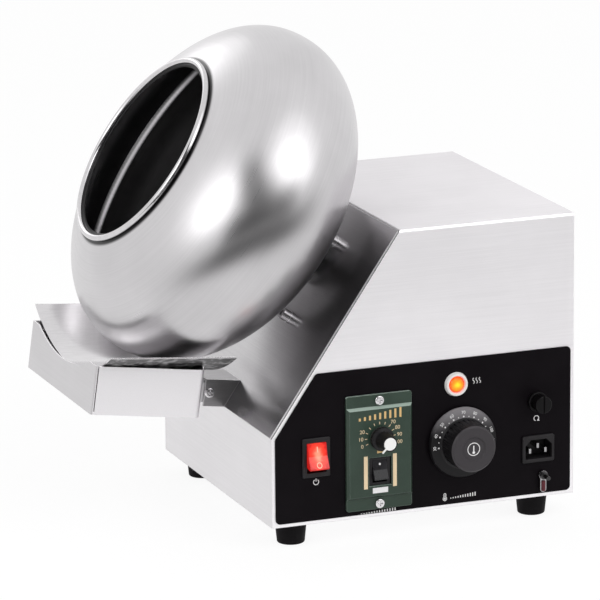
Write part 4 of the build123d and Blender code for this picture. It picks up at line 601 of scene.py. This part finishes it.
def ended(tree, geometry, given, end):
    """Realizes what was placed and gives it its finish."""
    real = node(tree, "GeometryNodeRealizeInstances", {"Geometry": geometry}).outputs[0]
    done = node(tree, "GeometryNodeSetMaterial", {"Geometry": real, "Material": given["Finish"]})
    tree.links.new(done.outputs[0], end)


INT = "NodeSocketInt"
DRIVE = Matrix.Translation(DRIVE_ORIGIN) @ Matrix.Rotation(SLOPE_ANGLE, 4, "X")


def turned_pan():
    """The pan's wall as one turned skin: out from the back flat to the mouth and back along the inside."""
    tree, given, end = growth(
        "turned_pan",
        [
            ("Radius", FLOAT, PAN_RADIUS),
            ("Wall", FLOAT, PAN_WALL),
            ("Fullness", FLOAT, PAN_FULLNESS),
            ("Mouth Rise", FLOAT, PAN_MOUTH_RISE),
            ("Mouth Radius", FLOAT, PAN_MOUTH_RADIUS),
            ("Rear Depth", FLOAT, PAN_REAR_DEPTH),
            ("Back", FLOAT, PAN_OUT - PAN_BACK_GAP),
            ("Flat Share", FLOAT, 0.12),
            ("Along", INT, 281),
            ("Around", INT, 225),
        ],
    )

    def do(operation, *values, clamp=False):
        return sums(tree, operation, *values, clamp=clamp)

    sheet = node(
        tree,
        "GeometryNodeMeshGrid",
        {"Size X": 1.0, "Size Y": 1.0, "Vertices X": given["Along"], "Vertices Y": given["Around"]},
    )
    spread = node(tree, "ShaderNodeSeparateXYZ", {0: sheet.outputs["UV Map"]}).outputs
    inside = do("GREATER_THAN", spread["X"], 0.5001)
    share = do("SUBTRACT", 1.0, do("ABSOLUTE", do("SUBTRACT", do("MULTIPLY", spread["X"], 2.0), 1.0)))
    inset = do("MULTIPLY", inside, given["Wall"])
    radius = do("SUBTRACT", given["Radius"], inset)
    rear = do("SUBTRACT", given["Rear Depth"], inset)
    back = do("SUBTRACT", given["Back"], inset)

    # The front half is a full curve that meets the mouth, the rear half an ellipse cut by the back flat
    mouth = do("POWER", do("DIVIDE", given["Mouth Radius"], given["Radius"]), given["Fullness"])
    inverse = do("DIVIDE", 1.0, given["Fullness"])
    depth = do("DIVIDE", given["Mouth Rise"], do("POWER", do("SUBTRACT", 1.0, mouth), inverse))
    front_share = do("MULTIPLY_ADD", share, 2.0, -1.0, clamp=True)
    rise = do("MULTIPLY", given["Mouth Rise"], do("SINE", do("MULTIPLY", front_share, pi / 2)))
    filled = do("POWER", do("DIVIDE", rise, do("SUBTRACT", depth, inset)), given["Fullness"])
    front_radius = do("MULTIPLY", radius, do("POWER", do("SUBTRACT", 1.0, filled), inverse))
    lowest = do("MULTIPLY", do("ARCSINE", do("DIVIDE", back, rear)), -1.0)
    rear_span = do("SUBTRACT", 0.5, given["Flat Share"])
    rear_share = do("DIVIDE", do("SUBTRACT", share, given["Flat Share"]), rear_span, clamp=True)
    angle = do("MULTIPLY", lowest, do("SUBTRACT", 1.0, rear_share))
    rear_radius = do("MULTIPLY", radius, do("COSINE", angle))
    rear_height = do("MULTIPLY", rear, do("SINE", angle))
    flat_share = do("DIVIDE", share, given["Flat Share"], clamp=True)
    rear_radius = do("MULTIPLY", rear_radius, flat_share)

    ahead = do("GREATER_THAN", share, 0.5)
    across = blend_value(tree, ahead, rear_radius, front_radius)
    height = do("ADD", blend_value(tree, ahead, rear_height, rise), PAN_OUT)
    turn = do("MULTIPLY", spread["Y"], 2 * pi)
    place = round_axis(tree, across, turn, height)
    kept = node(
        tree,
        "GeometryNodeStoreNamedAttribute",
        {"Geometry": sheet.outputs["Mesh"], "Name": "turning", "Value": sheet.outputs["UV Map"]},
        data_type="FLOAT2",
        domain="CORNER",
    ).outputs[0]
    kept = node(
        tree,
        "GeometryNodeStoreNamedAttribute",
        {"Geometry": kept, "Name": "inside", "Value": inside},
        data_type="FLOAT",
        domain="POINT",
    ).outputs[0]
    turned = node(tree, "GeometryNodeSetPosition", {"Geometry": kept, "Position": place}).outputs[0]
    closed = node(tree, "GeometryNodeMergeByDistance", {"Geometry": turned, "Distance": 0.00001}).outputs[0]
    outward = node(tree, "GeometryNodeFlipFaces", {0: closed}).outputs[0]
    smooth = node(tree, "GeometryNodeSetShadeSmooth", {"Geometry": outward}).outputs[0]
    ended(tree, smooth, given, end)
    return tree


pan_mesh = grown("pan_skin", turned_pan(), {}, "pan_steel")
pan_mesh.transform(DRIVE)
pan_skin = link("pan_skin", pan_mesh)
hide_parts("pan_shell")
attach(pan_skin, "pan")


def weld_ring():
    """The seam between the pan's halves, inside: a low bead with the ripples of its runs."""
    tree, given, end = growth(
        "weld_ring",
        [
            ("Radius", FLOAT, PAN_RADIUS - PAN_WALL),
            ("Height", FLOAT, PAN_OUT + WELD_FORWARD),
            ("Width", FLOAT, WELD_WIDTH),
            ("Lean", FLOAT, 0.0),
            ("Rise", FLOAT, WELD_RISE),
            ("Ripples", FLOAT, WELD_RIPPLES),
        ],
    )

    def do(operation, *values):
        return sums(tree, operation, *values)

    sheet = node(
        tree, "GeometryNodeMeshGrid", {"Size X": 1.0, "Size Y": 1.0, "Vertices X": 13, "Vertices Y": 1441}
    )
    spread = node(tree, "ShaderNodeSeparateXYZ", {0: sheet.outputs["UV Map"]}).outputs
    section = do("MULTIPLY", spread["X"], 2 * pi)
    turn = do("MULTIPLY", spread["Y"], 2 * pi)
    ripple = do("MULTIPLY_ADD", do("SINE", do("MULTIPLY", turn, given["Ripples"])), 0.12, 0.88)
    rise = do("MULTIPLY", do("MULTIPLY", given["Rise"], ripple), do("COSINE", section))
    along = do("MULTIPLY", do("MULTIPLY", given["Width"], 0.5), do("SINE", section))
    across = do("SUBTRACT", do("MULTIPLY_ADD", along, given["Lean"], given["Radius"]), rise)
    height = do("ADD", along, given["Height"])
    place = round_axis(tree, across, turn, height)
    bent = node(tree, "GeometryNodeSetPosition", {"Geometry": sheet.outputs["Mesh"], "Position": place}).outputs[0]
    closed = node(tree, "GeometryNodeMergeByDistance", {"Geometry": bent, "Distance": 0.000002}).outputs[0]
    smooth = node(tree, "GeometryNodeSetShadeSmooth", {"Geometry": closed}).outputs[0]
    ended(tree, smooth, given, end)
    return tree


def outward(mesh):
    """Turns the faces of a closed mesh outwards."""
    work = bmesh.new()
    work.from_mesh(mesh)
    bmesh.ops.recalc_face_normals(work, faces=work.faces[:])
    work.to_mesh(mesh)
    work.free()


def inner_radius(rise):
    """Radius inside the pan's front half at a height over its widest place."""
    return (PAN_RADIUS - PAN_WALL) * (1 - (rise / PAN_FRONT_DEPTH) ** PAN_FULLNESS) ** (1 / PAN_FULLNESS)


weld_low, weld_high = WELD_FORWARD - WELD_WIDTH / 2, WELD_FORWARD + WELD_WIDTH / 2
weld_sizes = {
    "Radius": inner_radius(WELD_FORWARD),
    "Lean": (inner_radius(weld_high) - inner_radius(weld_low)) / WELD_WIDTH,
}
weld_mesh = grown("pan_weld", weld_ring(), weld_sizes, "weld_steel")
outward(weld_mesh)
weld_mesh.transform(DRIVE)
pan_weld = link("pan_weld", weld_mesh)
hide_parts("pan_shell")
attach(pan_weld, "pan")


# Marks: thin raised ink laid on the nodes
def flat_mesh(outlines):
    """A flat mesh of polygons given in (across, up)."""
    mesh = bpy.data.meshes.new("flat")
    points, faces = [], []
    for outline in outlines:
        faces.append(list(range(len(points), len(points) + len(outline))))
        points += [(across, up, 0.0) for across, up in outline]
    mesh.from_pydata(points, [], faces)
    return mesh


def bar(left, low, right, high):
    """An upright rectangle."""
    return [(left, low), (right, low), (right, high), (left, high)]


def round_dot(across, up, radius, steps=20):
    """A filled circle."""
    return [
        (across + radius * cos(2 * pi * step / steps), up + radius * sin(2 * pi * step / steps))
        for step in range(steps)
    ]


def stroke(points, width):
    """A line of even width as one quad per step."""
    quads = []
    for (x0, y0), (x1, y1) in zip(points, points[1:]):
        long = Vector((x1 - x0, y1 - y0))
        side = Vector((-long.y, long.x)).normalized() * width / 2
        reach = long.normalized() * width / 8
        start, stop = Vector((x0, y0)) - reach, Vector((x1, y1)) + reach
        quads.append([tuple(p) for p in (start - side, stop - side, stop + side, start + side)])
    return quads


def arc(across, up, radius, start, stop, width, steps=28):
    """Part of a ring, from one angle to another in degrees."""
    quads = []
    for step in range(steps):
        turns = [radians(start + (stop - start) * (step + more) / steps) for more in (0, 1)]
        quads.append(
            [
                (across + (radius + side * width / 2) * cos(turn), up + (radius + side * width / 2) * sin(turn))
                for side, turn in ((-1, turns[0]), (1, turns[0]), (1, turns[1]), (-1, turns[1]))
            ]
        )
    return quads


NUMERAL_SHARE = 0.69  # height of a numeral in type of size 1


def numerals(text, height, across, up, turn=0.0):
    """Numbers as a flat mesh, centred on a place and turned by degrees."""
    curve = bpy.data.curves.new("numerals", "FONT")
    curve.body = text
    curve.size = height / NUMERAL_SHARE
    curve.align_x = "CENTER"
    curve.align_y = "CENTER"
    seed = bpy.data.objects.new("numerals", curve)
    bpy.context.scene.collection.objects.link(seed)
    mesh = bpy.data.meshes.new_from_object(seed.evaluated_get(bpy.context.evaluated_depsgraph_get()))
    bpy.data.objects.remove(seed)
    mesh.transform(Matrix.Translation((across, up, 0)) @ Matrix.Rotation(radians(turn), 4, "Z"))
    return mesh


def surface_of(name):
    """A node's faces, for finding where a mark meets them."""
    mesh = nodes[name].data
    return BVHTree.FromPolygons([v.co for v in mesh.vertices], [p.vertices for p in mesh.polygons])


def laid_on(name, meshes, centre, node_name, finish_name, body):
    """Lays flat marks on the outer side of a node, as raised ink, and makes them ride a body."""
    surface = surface_of(node_name)
    work = bmesh.new()
    for mesh in meshes:
        work.from_mesh(mesh)
    bmesh.ops.remove_doubles(work, verts=work.verts, dist=0.000002)
    raised = bmesh.ops.extrude_face_region(work, geom=work.faces[:])["geom"]
    upper = {item for item in raised if isinstance(item, bmesh.types.BMVert)}
    for vertex in work.verts:
        start = Vector((OUTSIDE_X, centre.y + vertex.co.x, centre.z + vertex.co.y))
        hit = surface.ray_cast(start, Vector((-1, 0, 0)))[0]
        level = hit.x + (INK if vertex in upper else -INK)
        vertex.co = (level, start.y, start.z)
    bmesh.ops.recalc_face_normals(work, faces=work.faces[:])
    mesh = bpy.data.meshes.new(name)
    work.to_mesh(mesh)
    work.free()
    made = link(name, mesh, finish_name)
    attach(made, body)


def ring_of_marks():
    """Bars or dots placed at even angles on an arc."""
    tree, given, end = growth(
        "ring_of_marks",
        [
            ("Count", INT, 11),
            ("Start", FLOAT, 0.0),
            ("Step", FLOAT, 0.1),
            ("Radius", FLOAT, 0.01),
            ("Length", FLOAT, 0.002),
            ("Width", FLOAT, 0.0005),
            ("Round", "NodeSocketBool", False),
        ],
    )
    points = node(tree, "GeometryNodePoints", {"Count": given["Count"]}).outputs[0]
    order = node(tree, "GeometryNodeInputIndex").outputs[0]
    turn = sums(tree, "MULTIPLY_ADD", order, given["Step"], given["Start"])
    place = round_axis(tree, given["Radius"], turn)
    set_out = node(tree, "GeometryNodeSetPosition", {"Geometry": points, "Position": place}).outputs[0]
    line = node(
        tree,
        "GeometryNodeMeshGrid",
        {"Size X": given["Length"], "Size Y": given["Width"], "Vertices X": 2, "Vertices Y": 2},
    ).outputs["Mesh"]
    spot = node(
        tree,
        "GeometryNodeMeshCircle",
        {"Vertices": 16, "Radius": sums(tree, "MULTIPLY", given["Width"], 0.5)},
        fill_type="NGON",
    ).outputs[0]
    mark = node(
        tree,
        "GeometryNodeSwitch",
        {"Switch": given["Round"], "False": line, "True": spot},
        input_type="GEOMETRY",
    ).outputs[0]
    angle = node(tree, "ShaderNodeCombineXYZ", {2: turn}).outputs[0]
    spin = node(tree, "FunctionNodeEulerToRotation", {0: angle}).outputs[0]
    put = node(tree, "GeometryNodeInstanceOnPoints", {"Points": set_out, "Instance": mark, "Rotation": spin})
    ended(tree, put.outputs[0], given, end)
    return tree


def level_bars():
    """Bars side by side that grow in height."""
    tree, given, end = growth(
        "level_bars",
        [
            ("Count", INT, 9),
            ("Span", FLOAT, 0.036),
            ("Lowest", FLOAT, 0.002),
            ("Highest", FLOAT, 0.008),
            ("Fill", FLOAT, 0.45),
        ],
    )
    points = node(tree, "GeometryNodePoints", {"Count": given["Count"]}).outputs[0]
    order = node(tree, "GeometryNodeInputIndex").outputs[0]
    share = sums(tree, "DIVIDE", order, sums(tree, "SUBTRACT", given["Count"], 1.0))
    height = blend_value(tree, share, given["Lowest"], given["Highest"])
    across = sums(tree, "MULTIPLY", sums(tree, "SUBTRACT", share, 0.5), given["Span"])
    place = node(tree, "ShaderNodeCombineXYZ", {0: across, 1: sums(tree, "MULTIPLY", height, 0.5)}).outputs[0]
    set_out = node(tree, "GeometryNodeSetPosition", {"Geometry": points, "Position": place}).outputs[0]
    pitch = sums(tree, "DIVIDE", given["Span"], given["Count"])
    one = node(
        tree, "GeometryNodeMeshGrid", {"Size X": 1.0, "Size Y": 1.0, "Vertices X": 2, "Vertices Y": 2}
    ).outputs["Mesh"]
    size = node(tree, "ShaderNodeCombineXYZ", {0: sums(tree, "MULTIPLY", pitch, given["Fill"]), 1: height, 2: 1.0})
    put = node(tree, "GeometryNodeInstanceOnPoints", {"Points": set_out, "Instance": one, "Scale": size.outputs[0]})
    ended(tree, put.outputs[0], given, end)
    return tree


RING_OF_MARKS = ring_of_marks()
LEVEL_BARS = level_bars()


def ring(name, count, start, step, radius, length, width, rounded, finish_name):
    """Marks on an arc, from an angle on by even steps in degrees."""
    sizes = {
        "Count": count,
        "Start": radians(start),
        "Step": radians(step),
        "Radius": radius,
        "Length": length,
        "Width": width,
        "Round": rounded,
    }
    return grown(name, RING_OF_MARKS, sizes, finish_name)


def moved(mesh, across, up):
    """A flat mesh, moved."""
    mesh.transform(Matrix.Translation((across, up, 0)))
    return mesh


# Temperature scale on the knob's skirt
SCALE_START, SCALE_STEP, SCALE_LOW, SCALE_PLACES = 185.0, -23.5, 30, 9
DOT_RADIUS, NUMERAL_RADIUS, NUMERAL_HEIGHT = 0.0229, 0.0262, 0.0025
scale = []
for name, count, start, width in (
    ("dial_dots", SCALE_PLACES, SCALE_START, 0.0014),
    ("half_dots", SCALE_PLACES - 1, SCALE_START + SCALE_STEP / 2, 0.0009),
):
    scale.append(ring(name, count, start, SCALE_STEP, DOT_RADIUS, 0.001, width, True, "ink_white"))
for place in range(SCALE_PLACES):
    angle = SCALE_START + SCALE_STEP * place
    across, up = NUMERAL_RADIUS * cos(radians(angle)), NUMERAL_RADIUS * sin(radians(angle))
    scale.append(numerals(str(SCALE_LOW + 10 * place), NUMERAL_HEIGHT, across, up, angle - 90))
laid_on("dial_scale", scale, DIAL, "temperature_knob", "ink_white", "temperature_knob")
badge = arc(0, 0, 0.0053, 0, 360, 0.0007, 40)
badge += [bar(-0.0005, -0.0026, 0.0005, 0.003), round_dot(0, -0.0028, 0.0012)]
laid_on("dial_badge", [flat_mesh(badge)], DIAL, "temperature_knob", "ink_white", "temperature_knob")

# Speed scale round its knob
SPEED_START, SPEED_STEP, SPEED_PLACES = 202.0, -22.0, 11
NUMBERED = (0, 1, 2, 7, 8, 9, 10)
ticks = [ring("speed_ticks", SPEED_PLACES, SPEED_START, SPEED_STEP, 0.0126, 0.0022, 0.0006, False, "ink_cream")]
for place in NUMBERED:
    angle = radians(SPEED_START + SPEED_STEP * place)
    ticks.append(numerals(str(10 * place), 0.0031, 0.0172 * cos(angle), 0.0166 * sin(angle)))
laid_on("speed_scale", ticks, SPEED, "speed_controller_case", "ink_cream", "housing")
rise = grown("speed_rise", LEVEL_BARS, {"Lowest": 0.0024, "Highest": 0.0084}, "ink_gold")
laid_on("speed_rise", [moved(rise, 0, 0.0158)], SPEED, "speed_controller_case", "ink_gold", "housing")
wedge = [[(-0.0028, -0.0132), (0.0050, -0.0124), (0.0050, -0.0122), (-0.0028, -0.0110)]]
laid_on("speed_wedge", [flat_mesh(wedge)], SPEED, "speed_controller_case", "ink_gold", "housing")

# Run switch: pale bars beside it, a label place under it, a dot on its upper end
BAR_MIDDLE, BAR_HALF_WIDTH, BAR_HALF_HEIGHT = 0.0129, 0.0017, 0.0140
sides = [
    bar(across - BAR_HALF_WIDTH, -BAR_HALF_HEIGHT, across + BAR_HALF_WIDTH, BAR_HALF_HEIGHT)
    for across in (-BAR_MIDDLE, BAR_MIDDLE)
]
laid_on("run_bars", [flat_mesh(sides)], RUN, "speed_controller_case", "ink_cream", "housing")
label = [bar(-0.0068, -0.0183, 0.0068, -0.0137)]
laid_on("run_label", [flat_mesh(label)], RUN, "speed_controller_case", "ink_white", "housing")
laid_on("run_dot", [flat_mesh([round_dot(0, 0.0060, 0.0009)])], RUN, "run_rocker", "ink_white", "run_rocker")

# On and off marks of the power switch
on_off = [bar(-0.0004, 0.0052, 0.0004, 0.0098)] + arc(0, -0.0048, 0.0020, 0, 360, 0.0007, 24)
laid_on("power_marks", [flat_mesh(on_off)], POWER, "power_rocker", "ink_lit", "power_rocker")


# Signs on the fascia
def beside(name, across, up):
    """A place on the fascia, off the middle of a node."""
    return middle(name) + Vector((0, across, up))


def sign(name, shapes, centre):
    """Lays white marks on the fascia."""
    laid_on(name, shapes, centre, "control_fascia", "ink_white", "housing")


def growing_bars(name, count, span, lowest, highest):
    """White bars side by side that grow in height."""
    sizes = {"Count": count, "Span": span, "Lowest": lowest, "Highest": highest}
    return grown(name, LEVEL_BARS, sizes, "ink_white")


LINE = 0.0006
power = arc(0, 0, 0.0023, 125, 415, LINE) + [bar(-LINE / 2, 0.0005, LINE / 2, 0.0031)]
sign("power_sign", [flat_mesh(power)], beside("power_switch_body", 0, -0.0212))
WAVE_STEPS, WAVE_HEIGHT, WAVE_SWING = 12, 0.0048, 0.0007
waves = []
for column in (-0.0028, 0.0, 0.0028):
    shares = [step / WAVE_STEPS for step in range(WAVE_STEPS + 1)]
    path = [(column + WAVE_SWING * sin(2 * pi * share), WAVE_HEIGHT * (share - 0.5)) for share in shares]
    waves += stroke(path, LINE)
sign("heat_sign", [flat_mesh(waves)], beside("heat_lamp_bezel", 0.0186, 0.0012))
turn_back = arc(0, 0, 0.0022, -40, 250, LINE)
turn_back.append([(0.0005, -0.0021), (0.0030, -0.0024), (0.0017, -0.0004)])
sign("reset_sign", [flat_mesh(turn_back)], beside("reset_collar", 0, -0.0150))
GLASS = -0.0128
glass = arc(GLASS, 0.0022, 0.0009, 0, 180, LINE, 12) + arc(GLASS, -0.0014, 0.0016, 124, 416, LINE, 24)
glass += [bar(GLASS + side, -0.0002, GLASS + side + LINE, 0.0022) for side in (-0.0012, 0.0006)]
glass += [round_dot(GLASS, -0.0014, 0.0009), bar(GLASS - 0.0002, -0.0012, GLASS + 0.0002, 0.0016)]
warmer = moved(growing_bars("growing_heat", 11, 0.022, 0.0008, 0.0034), 0.0035, -0.0018)
sign("temperature_sign", [flat_mesh(glass), warmer], beside("temperature_knob", -0.0015, -0.0470))
faster = moved(growing_bars("growing_speed", 14, 0.030, 0.0006, 0.0026), 0, -0.0012)
sign("speed_sign", [faster], beside("speed_controller_case", 0, -0.0516))


# Stage
def toward(azimuth, elevation):
    """Direction of a place round the object: azimuth 0 is in front, 90 on the control side."""
    a, e = radians(azimuth), radians(elevation)
    return Vector((sin(a) * cos(e), -cos(a) * cos(e), sin(e)))


AIM = Vector((0.0, -0.09, 0.20))
WHITE = (1, 1, 1, 1)
NEAR, FAR = 1.9, 3.2


def seen_directly(tree):
    """1 for what the camera, a reflection or glass shows, 0 for light that falls on things."""
    path = node(tree, "ShaderNodeLightPath").outputs
    most = sums(tree, "MAXIMUM", path["Is Camera Ray"], path["Is Glossy Ray"])
    return sums(tree, "MAXIMUM", most, path["Is Transmission Ray"])


def studio_floor():
    """A pale floor that shows white and keeps the object's shadow."""
    reach, paleness, whiteness, white_share = 12.0, 0.86, 1.06, 0.82
    corners = [(-reach, -reach, 0), (reach, -reach, 0), (reach, reach, 0), (-reach, reach, 0)]
    mesh = bpy.data.meshes.new("studio_floor")
    mesh.from_pydata(corners, [], [(0, 1, 2, 3)])
    material = bpy.data.materials.new("studio_floor")
    tree = bare_tree(material)
    shade = node(tree, "ShaderNodeBsdfDiffuse", {"Color": (paleness, paleness, paleness, 1)})
    white = node(tree, "ShaderNodeEmission", {"Color": WHITE, "Strength": whiteness})
    shade_between(tree, sums(tree, "MULTIPLY", seen_directly(tree), white_share), shade, white)
    made = bpy.data.objects.new("studio_floor", mesh)
    mesh.materials.append(material)
    bpy.context.scene.collection.objects.link(made)


def studio_world():
    """White where it is seen, a softer fill where it lights."""
    world = bpy.data.worlds.new("studio")
    bpy.context.scene.world = world
    tree = bare_tree(world)
    fill, white = (node(tree, "ShaderNodeBackground", {"Color": WHITE, "Strength": s}) for s in (0.7, 1.0))
    shade_between(tree, seen_directly(tree), fill, white, end="ShaderNodeOutputWorld")


def softbox(name, azimuth, elevation, distance, width, height, brightness, lean=0.0, lit=()):
    """An oval lamp turned to the object, leaning over to one side by degrees.
    It lights all, or only what lit lists."""
    light = bpy.data.lights.new(name, "AREA")
    light.shape = "ELLIPSE"
    light.size = width
    light.size_y = height
    area = pi / 4 * width * height
    light.energy = brightness * pi * area
    made = bpy.data.objects.new(name, light)
    way = toward(azimuth, elevation)
    made.location = AIM + distance * way
    made.rotation_mode = "QUATERNION"
    made.rotation_quaternion = way.to_track_quat("Z", "Y") @ Quaternion((0, 0, 1), radians(lean))
    made.visible_camera = False
    bpy.context.scene.collection.objects.link(made)
    if lit:
        made.light_linking.receiver_collection = bpy.data.collections.new(name + "_lit")
        for thing in lit:
            made.light_linking.receiver_collection.objects.link(thing)


def shown_in_reflections(name, points, faces, covers, level):
    """A dark sheet that neither the camera nor falling light shows, only reflections, as painted shade; covers is
    how much each point of it hides.
    """
    mesh = bpy.data.meshes.new(name)
    mesh.from_pydata(points, [], faces)
    mesh.attributes.new("cover", "FLOAT", "POINT").data.foreach_set("value", covers)
    material = bpy.data.materials.new(name)
    tree = bare_tree(material)
    cover = node(tree, "ShaderNodeAttribute", attribute_name="cover").outputs["Fac"]
    clear = node(tree, "ShaderNodeBsdfTransparent")
    dim = node(tree, "ShaderNodeEmission", {"Color": WHITE, "Strength": level})
    shade_between(tree, cover, clear, dim)
    mesh.materials.append(material)
    made = bpy.data.objects.new(name, mesh)
    made.visible_camera = False
    made.visible_diffuse = False
    made.visible_shadow = False
    bpy.context.scene.collection.objects.link(made)


def soft_sheet(name, azimuths, heights, soft, level, place):
    """A sheet over a range of azimuths and heights that fades out towards its edges."""
    steps, rows = 48, 24
    points, faces, covers = [], [], []
    for row in range(rows + 1):
        for step in range(steps + 1):
            along, up = step / steps, row / rows
            inside = [
                min(share, 1 - share) * (span[1] - span[0]) / fade
                for share, span, fade in ((along, azimuths, soft[0]), (up, heights, soft[1]))
            ]
            cover = 1.0
            for depth in inside:
                depth = min(depth, 1.0)
                cover *= depth * depth * (3 - 2 * depth)
            covers.append(cover)
            azimuth = azimuths[0] + (azimuths[1] - azimuths[0]) * along
            points.append(place(azimuth, heights[0] + (heights[1] - heights[0]) * up))
    for row in range(rows):
        for step in range(steps):
            first = row * (steps + 1) + step
            faces.append((first, first + 1, first + steps + 2, first + steps + 1))
    shown_in_reflections(name, points, faces, covers, level)


def dark_card(name, azimuths, elevations, distance, soft, level, slant=0.0):
    """A curved dark card, shown only in reflections as painted shade of the surroundings; slant is how far its
    azimuth moves with each degree it rises.
    """

    def place(azimuth, elevation):
        return AIM + distance * toward(azimuth + slant * (elevation - elevations[0]), elevation)

    soft_sheet(name, azimuths, elevations, soft, level, place)


def reflected_floor_shade(name, azimuths, radii, soft, level):
    """A dark sheet lying just over the floor, shown only in reflections as the floor's painted shadow."""
    lift = 0.012

    def place(azimuth, radius):
        return Vector((AIM.x, AIM.y, lift)) + radius * toward(azimuth, 0)

    soft_sheet(name, azimuths, radii, soft, level, place)


def studio_camera():
    """The photograph's view, found from the housing's corners."""
    azimuth, elevation, roll = 68.7831, 14.2262, -0.0090457
    focal_share = 4788.08 / 600
    offset = Vector((-0.022674, -0.18758, 3.92225))
    low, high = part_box("housing_cover")
    corner = Vector((high.x, low.y, low.z))
    ahead = -toward(azimuth, elevation)
    level = ahead.cross(Vector((0, 0, 1))).normalized()
    upright = level.cross(ahead)
    right = cos(roll) * level + sin(roll) * upright
    up = cos(roll) * upright - sin(roll) * level
    place = corner - offset.x * right - offset.y * up - offset.z * ahead
    camera = bpy.data.cameras.new("camera")
    camera.sensor_width = 36.0
    camera.lens = focal_share * camera.sensor_width
    camera.clip_start, camera.clip_end = 0.1, 100.0
    made = bpy.data.objects.new("camera", camera)
    made.matrix_world = Matrix((right, up, -ahead)).transposed().to_4x4()
    made.location = place
    bpy.context.scene.collection.objects.link(made)
    bpy.context.scene.camera = made


studio_floor()
studio_world()
softbox("softbox_front", 25, 29, NEAR, 1.1, 0.92, 1.1)
softbox("softbox_front_glow", 22, 30, FAR, 3.2, 2.4, 0.45)
softbox("softbox_side", 115, 34, NEAR, 0.85, 1.6, 1.1, lean=42)
softbox("softbox_side_glow", 115, 38, FAR, 3.2, 4.6, 0.5, lean=42)
pan_side = [pan_skin, *(nodes[name] for name in ("pan_mouth_bead", "tray_liner", "tray_box", "front_panel"))]
softbox("softbox_left", -80, 29, NEAR, 0.5, 0.5, 1.2, lit=pan_side)
softbox("softbox_left_glow", -80, 29, FAR, 1.8, 1.8, 0.5, lit=pan_side)
softbox("softbox_inside", 62, 20, NEAR, 0.4, 0.4, 80.0, lit=[pan_weld])
softbox("softbox_cover", 118, 34, NEAR, 1.3, 1.3, 3.4, lit=[nodes["housing_cover"], nodes["tray_box"]])
# Painted shade in reflections: dark cards for the shaded room round the object.
dark_card("dark_card_near", (42, 130), (-6, 22), 2.6, (14, 8), 0.06)
dark_card("dark_card_high", (73, 124), (8, 58), 2.7, (14, 10), 0.10, slant=-1.25)
# Painted shadow in reflections: a dark sheet on the floor round the object.
reflected_floor_shade("reflected_floor_shade", (0, 170), (0.50, 2.9), (55, 0.3), 0.10)
studio_camera()
bpy.context.scene.view_settings.view_transform = "Standard"
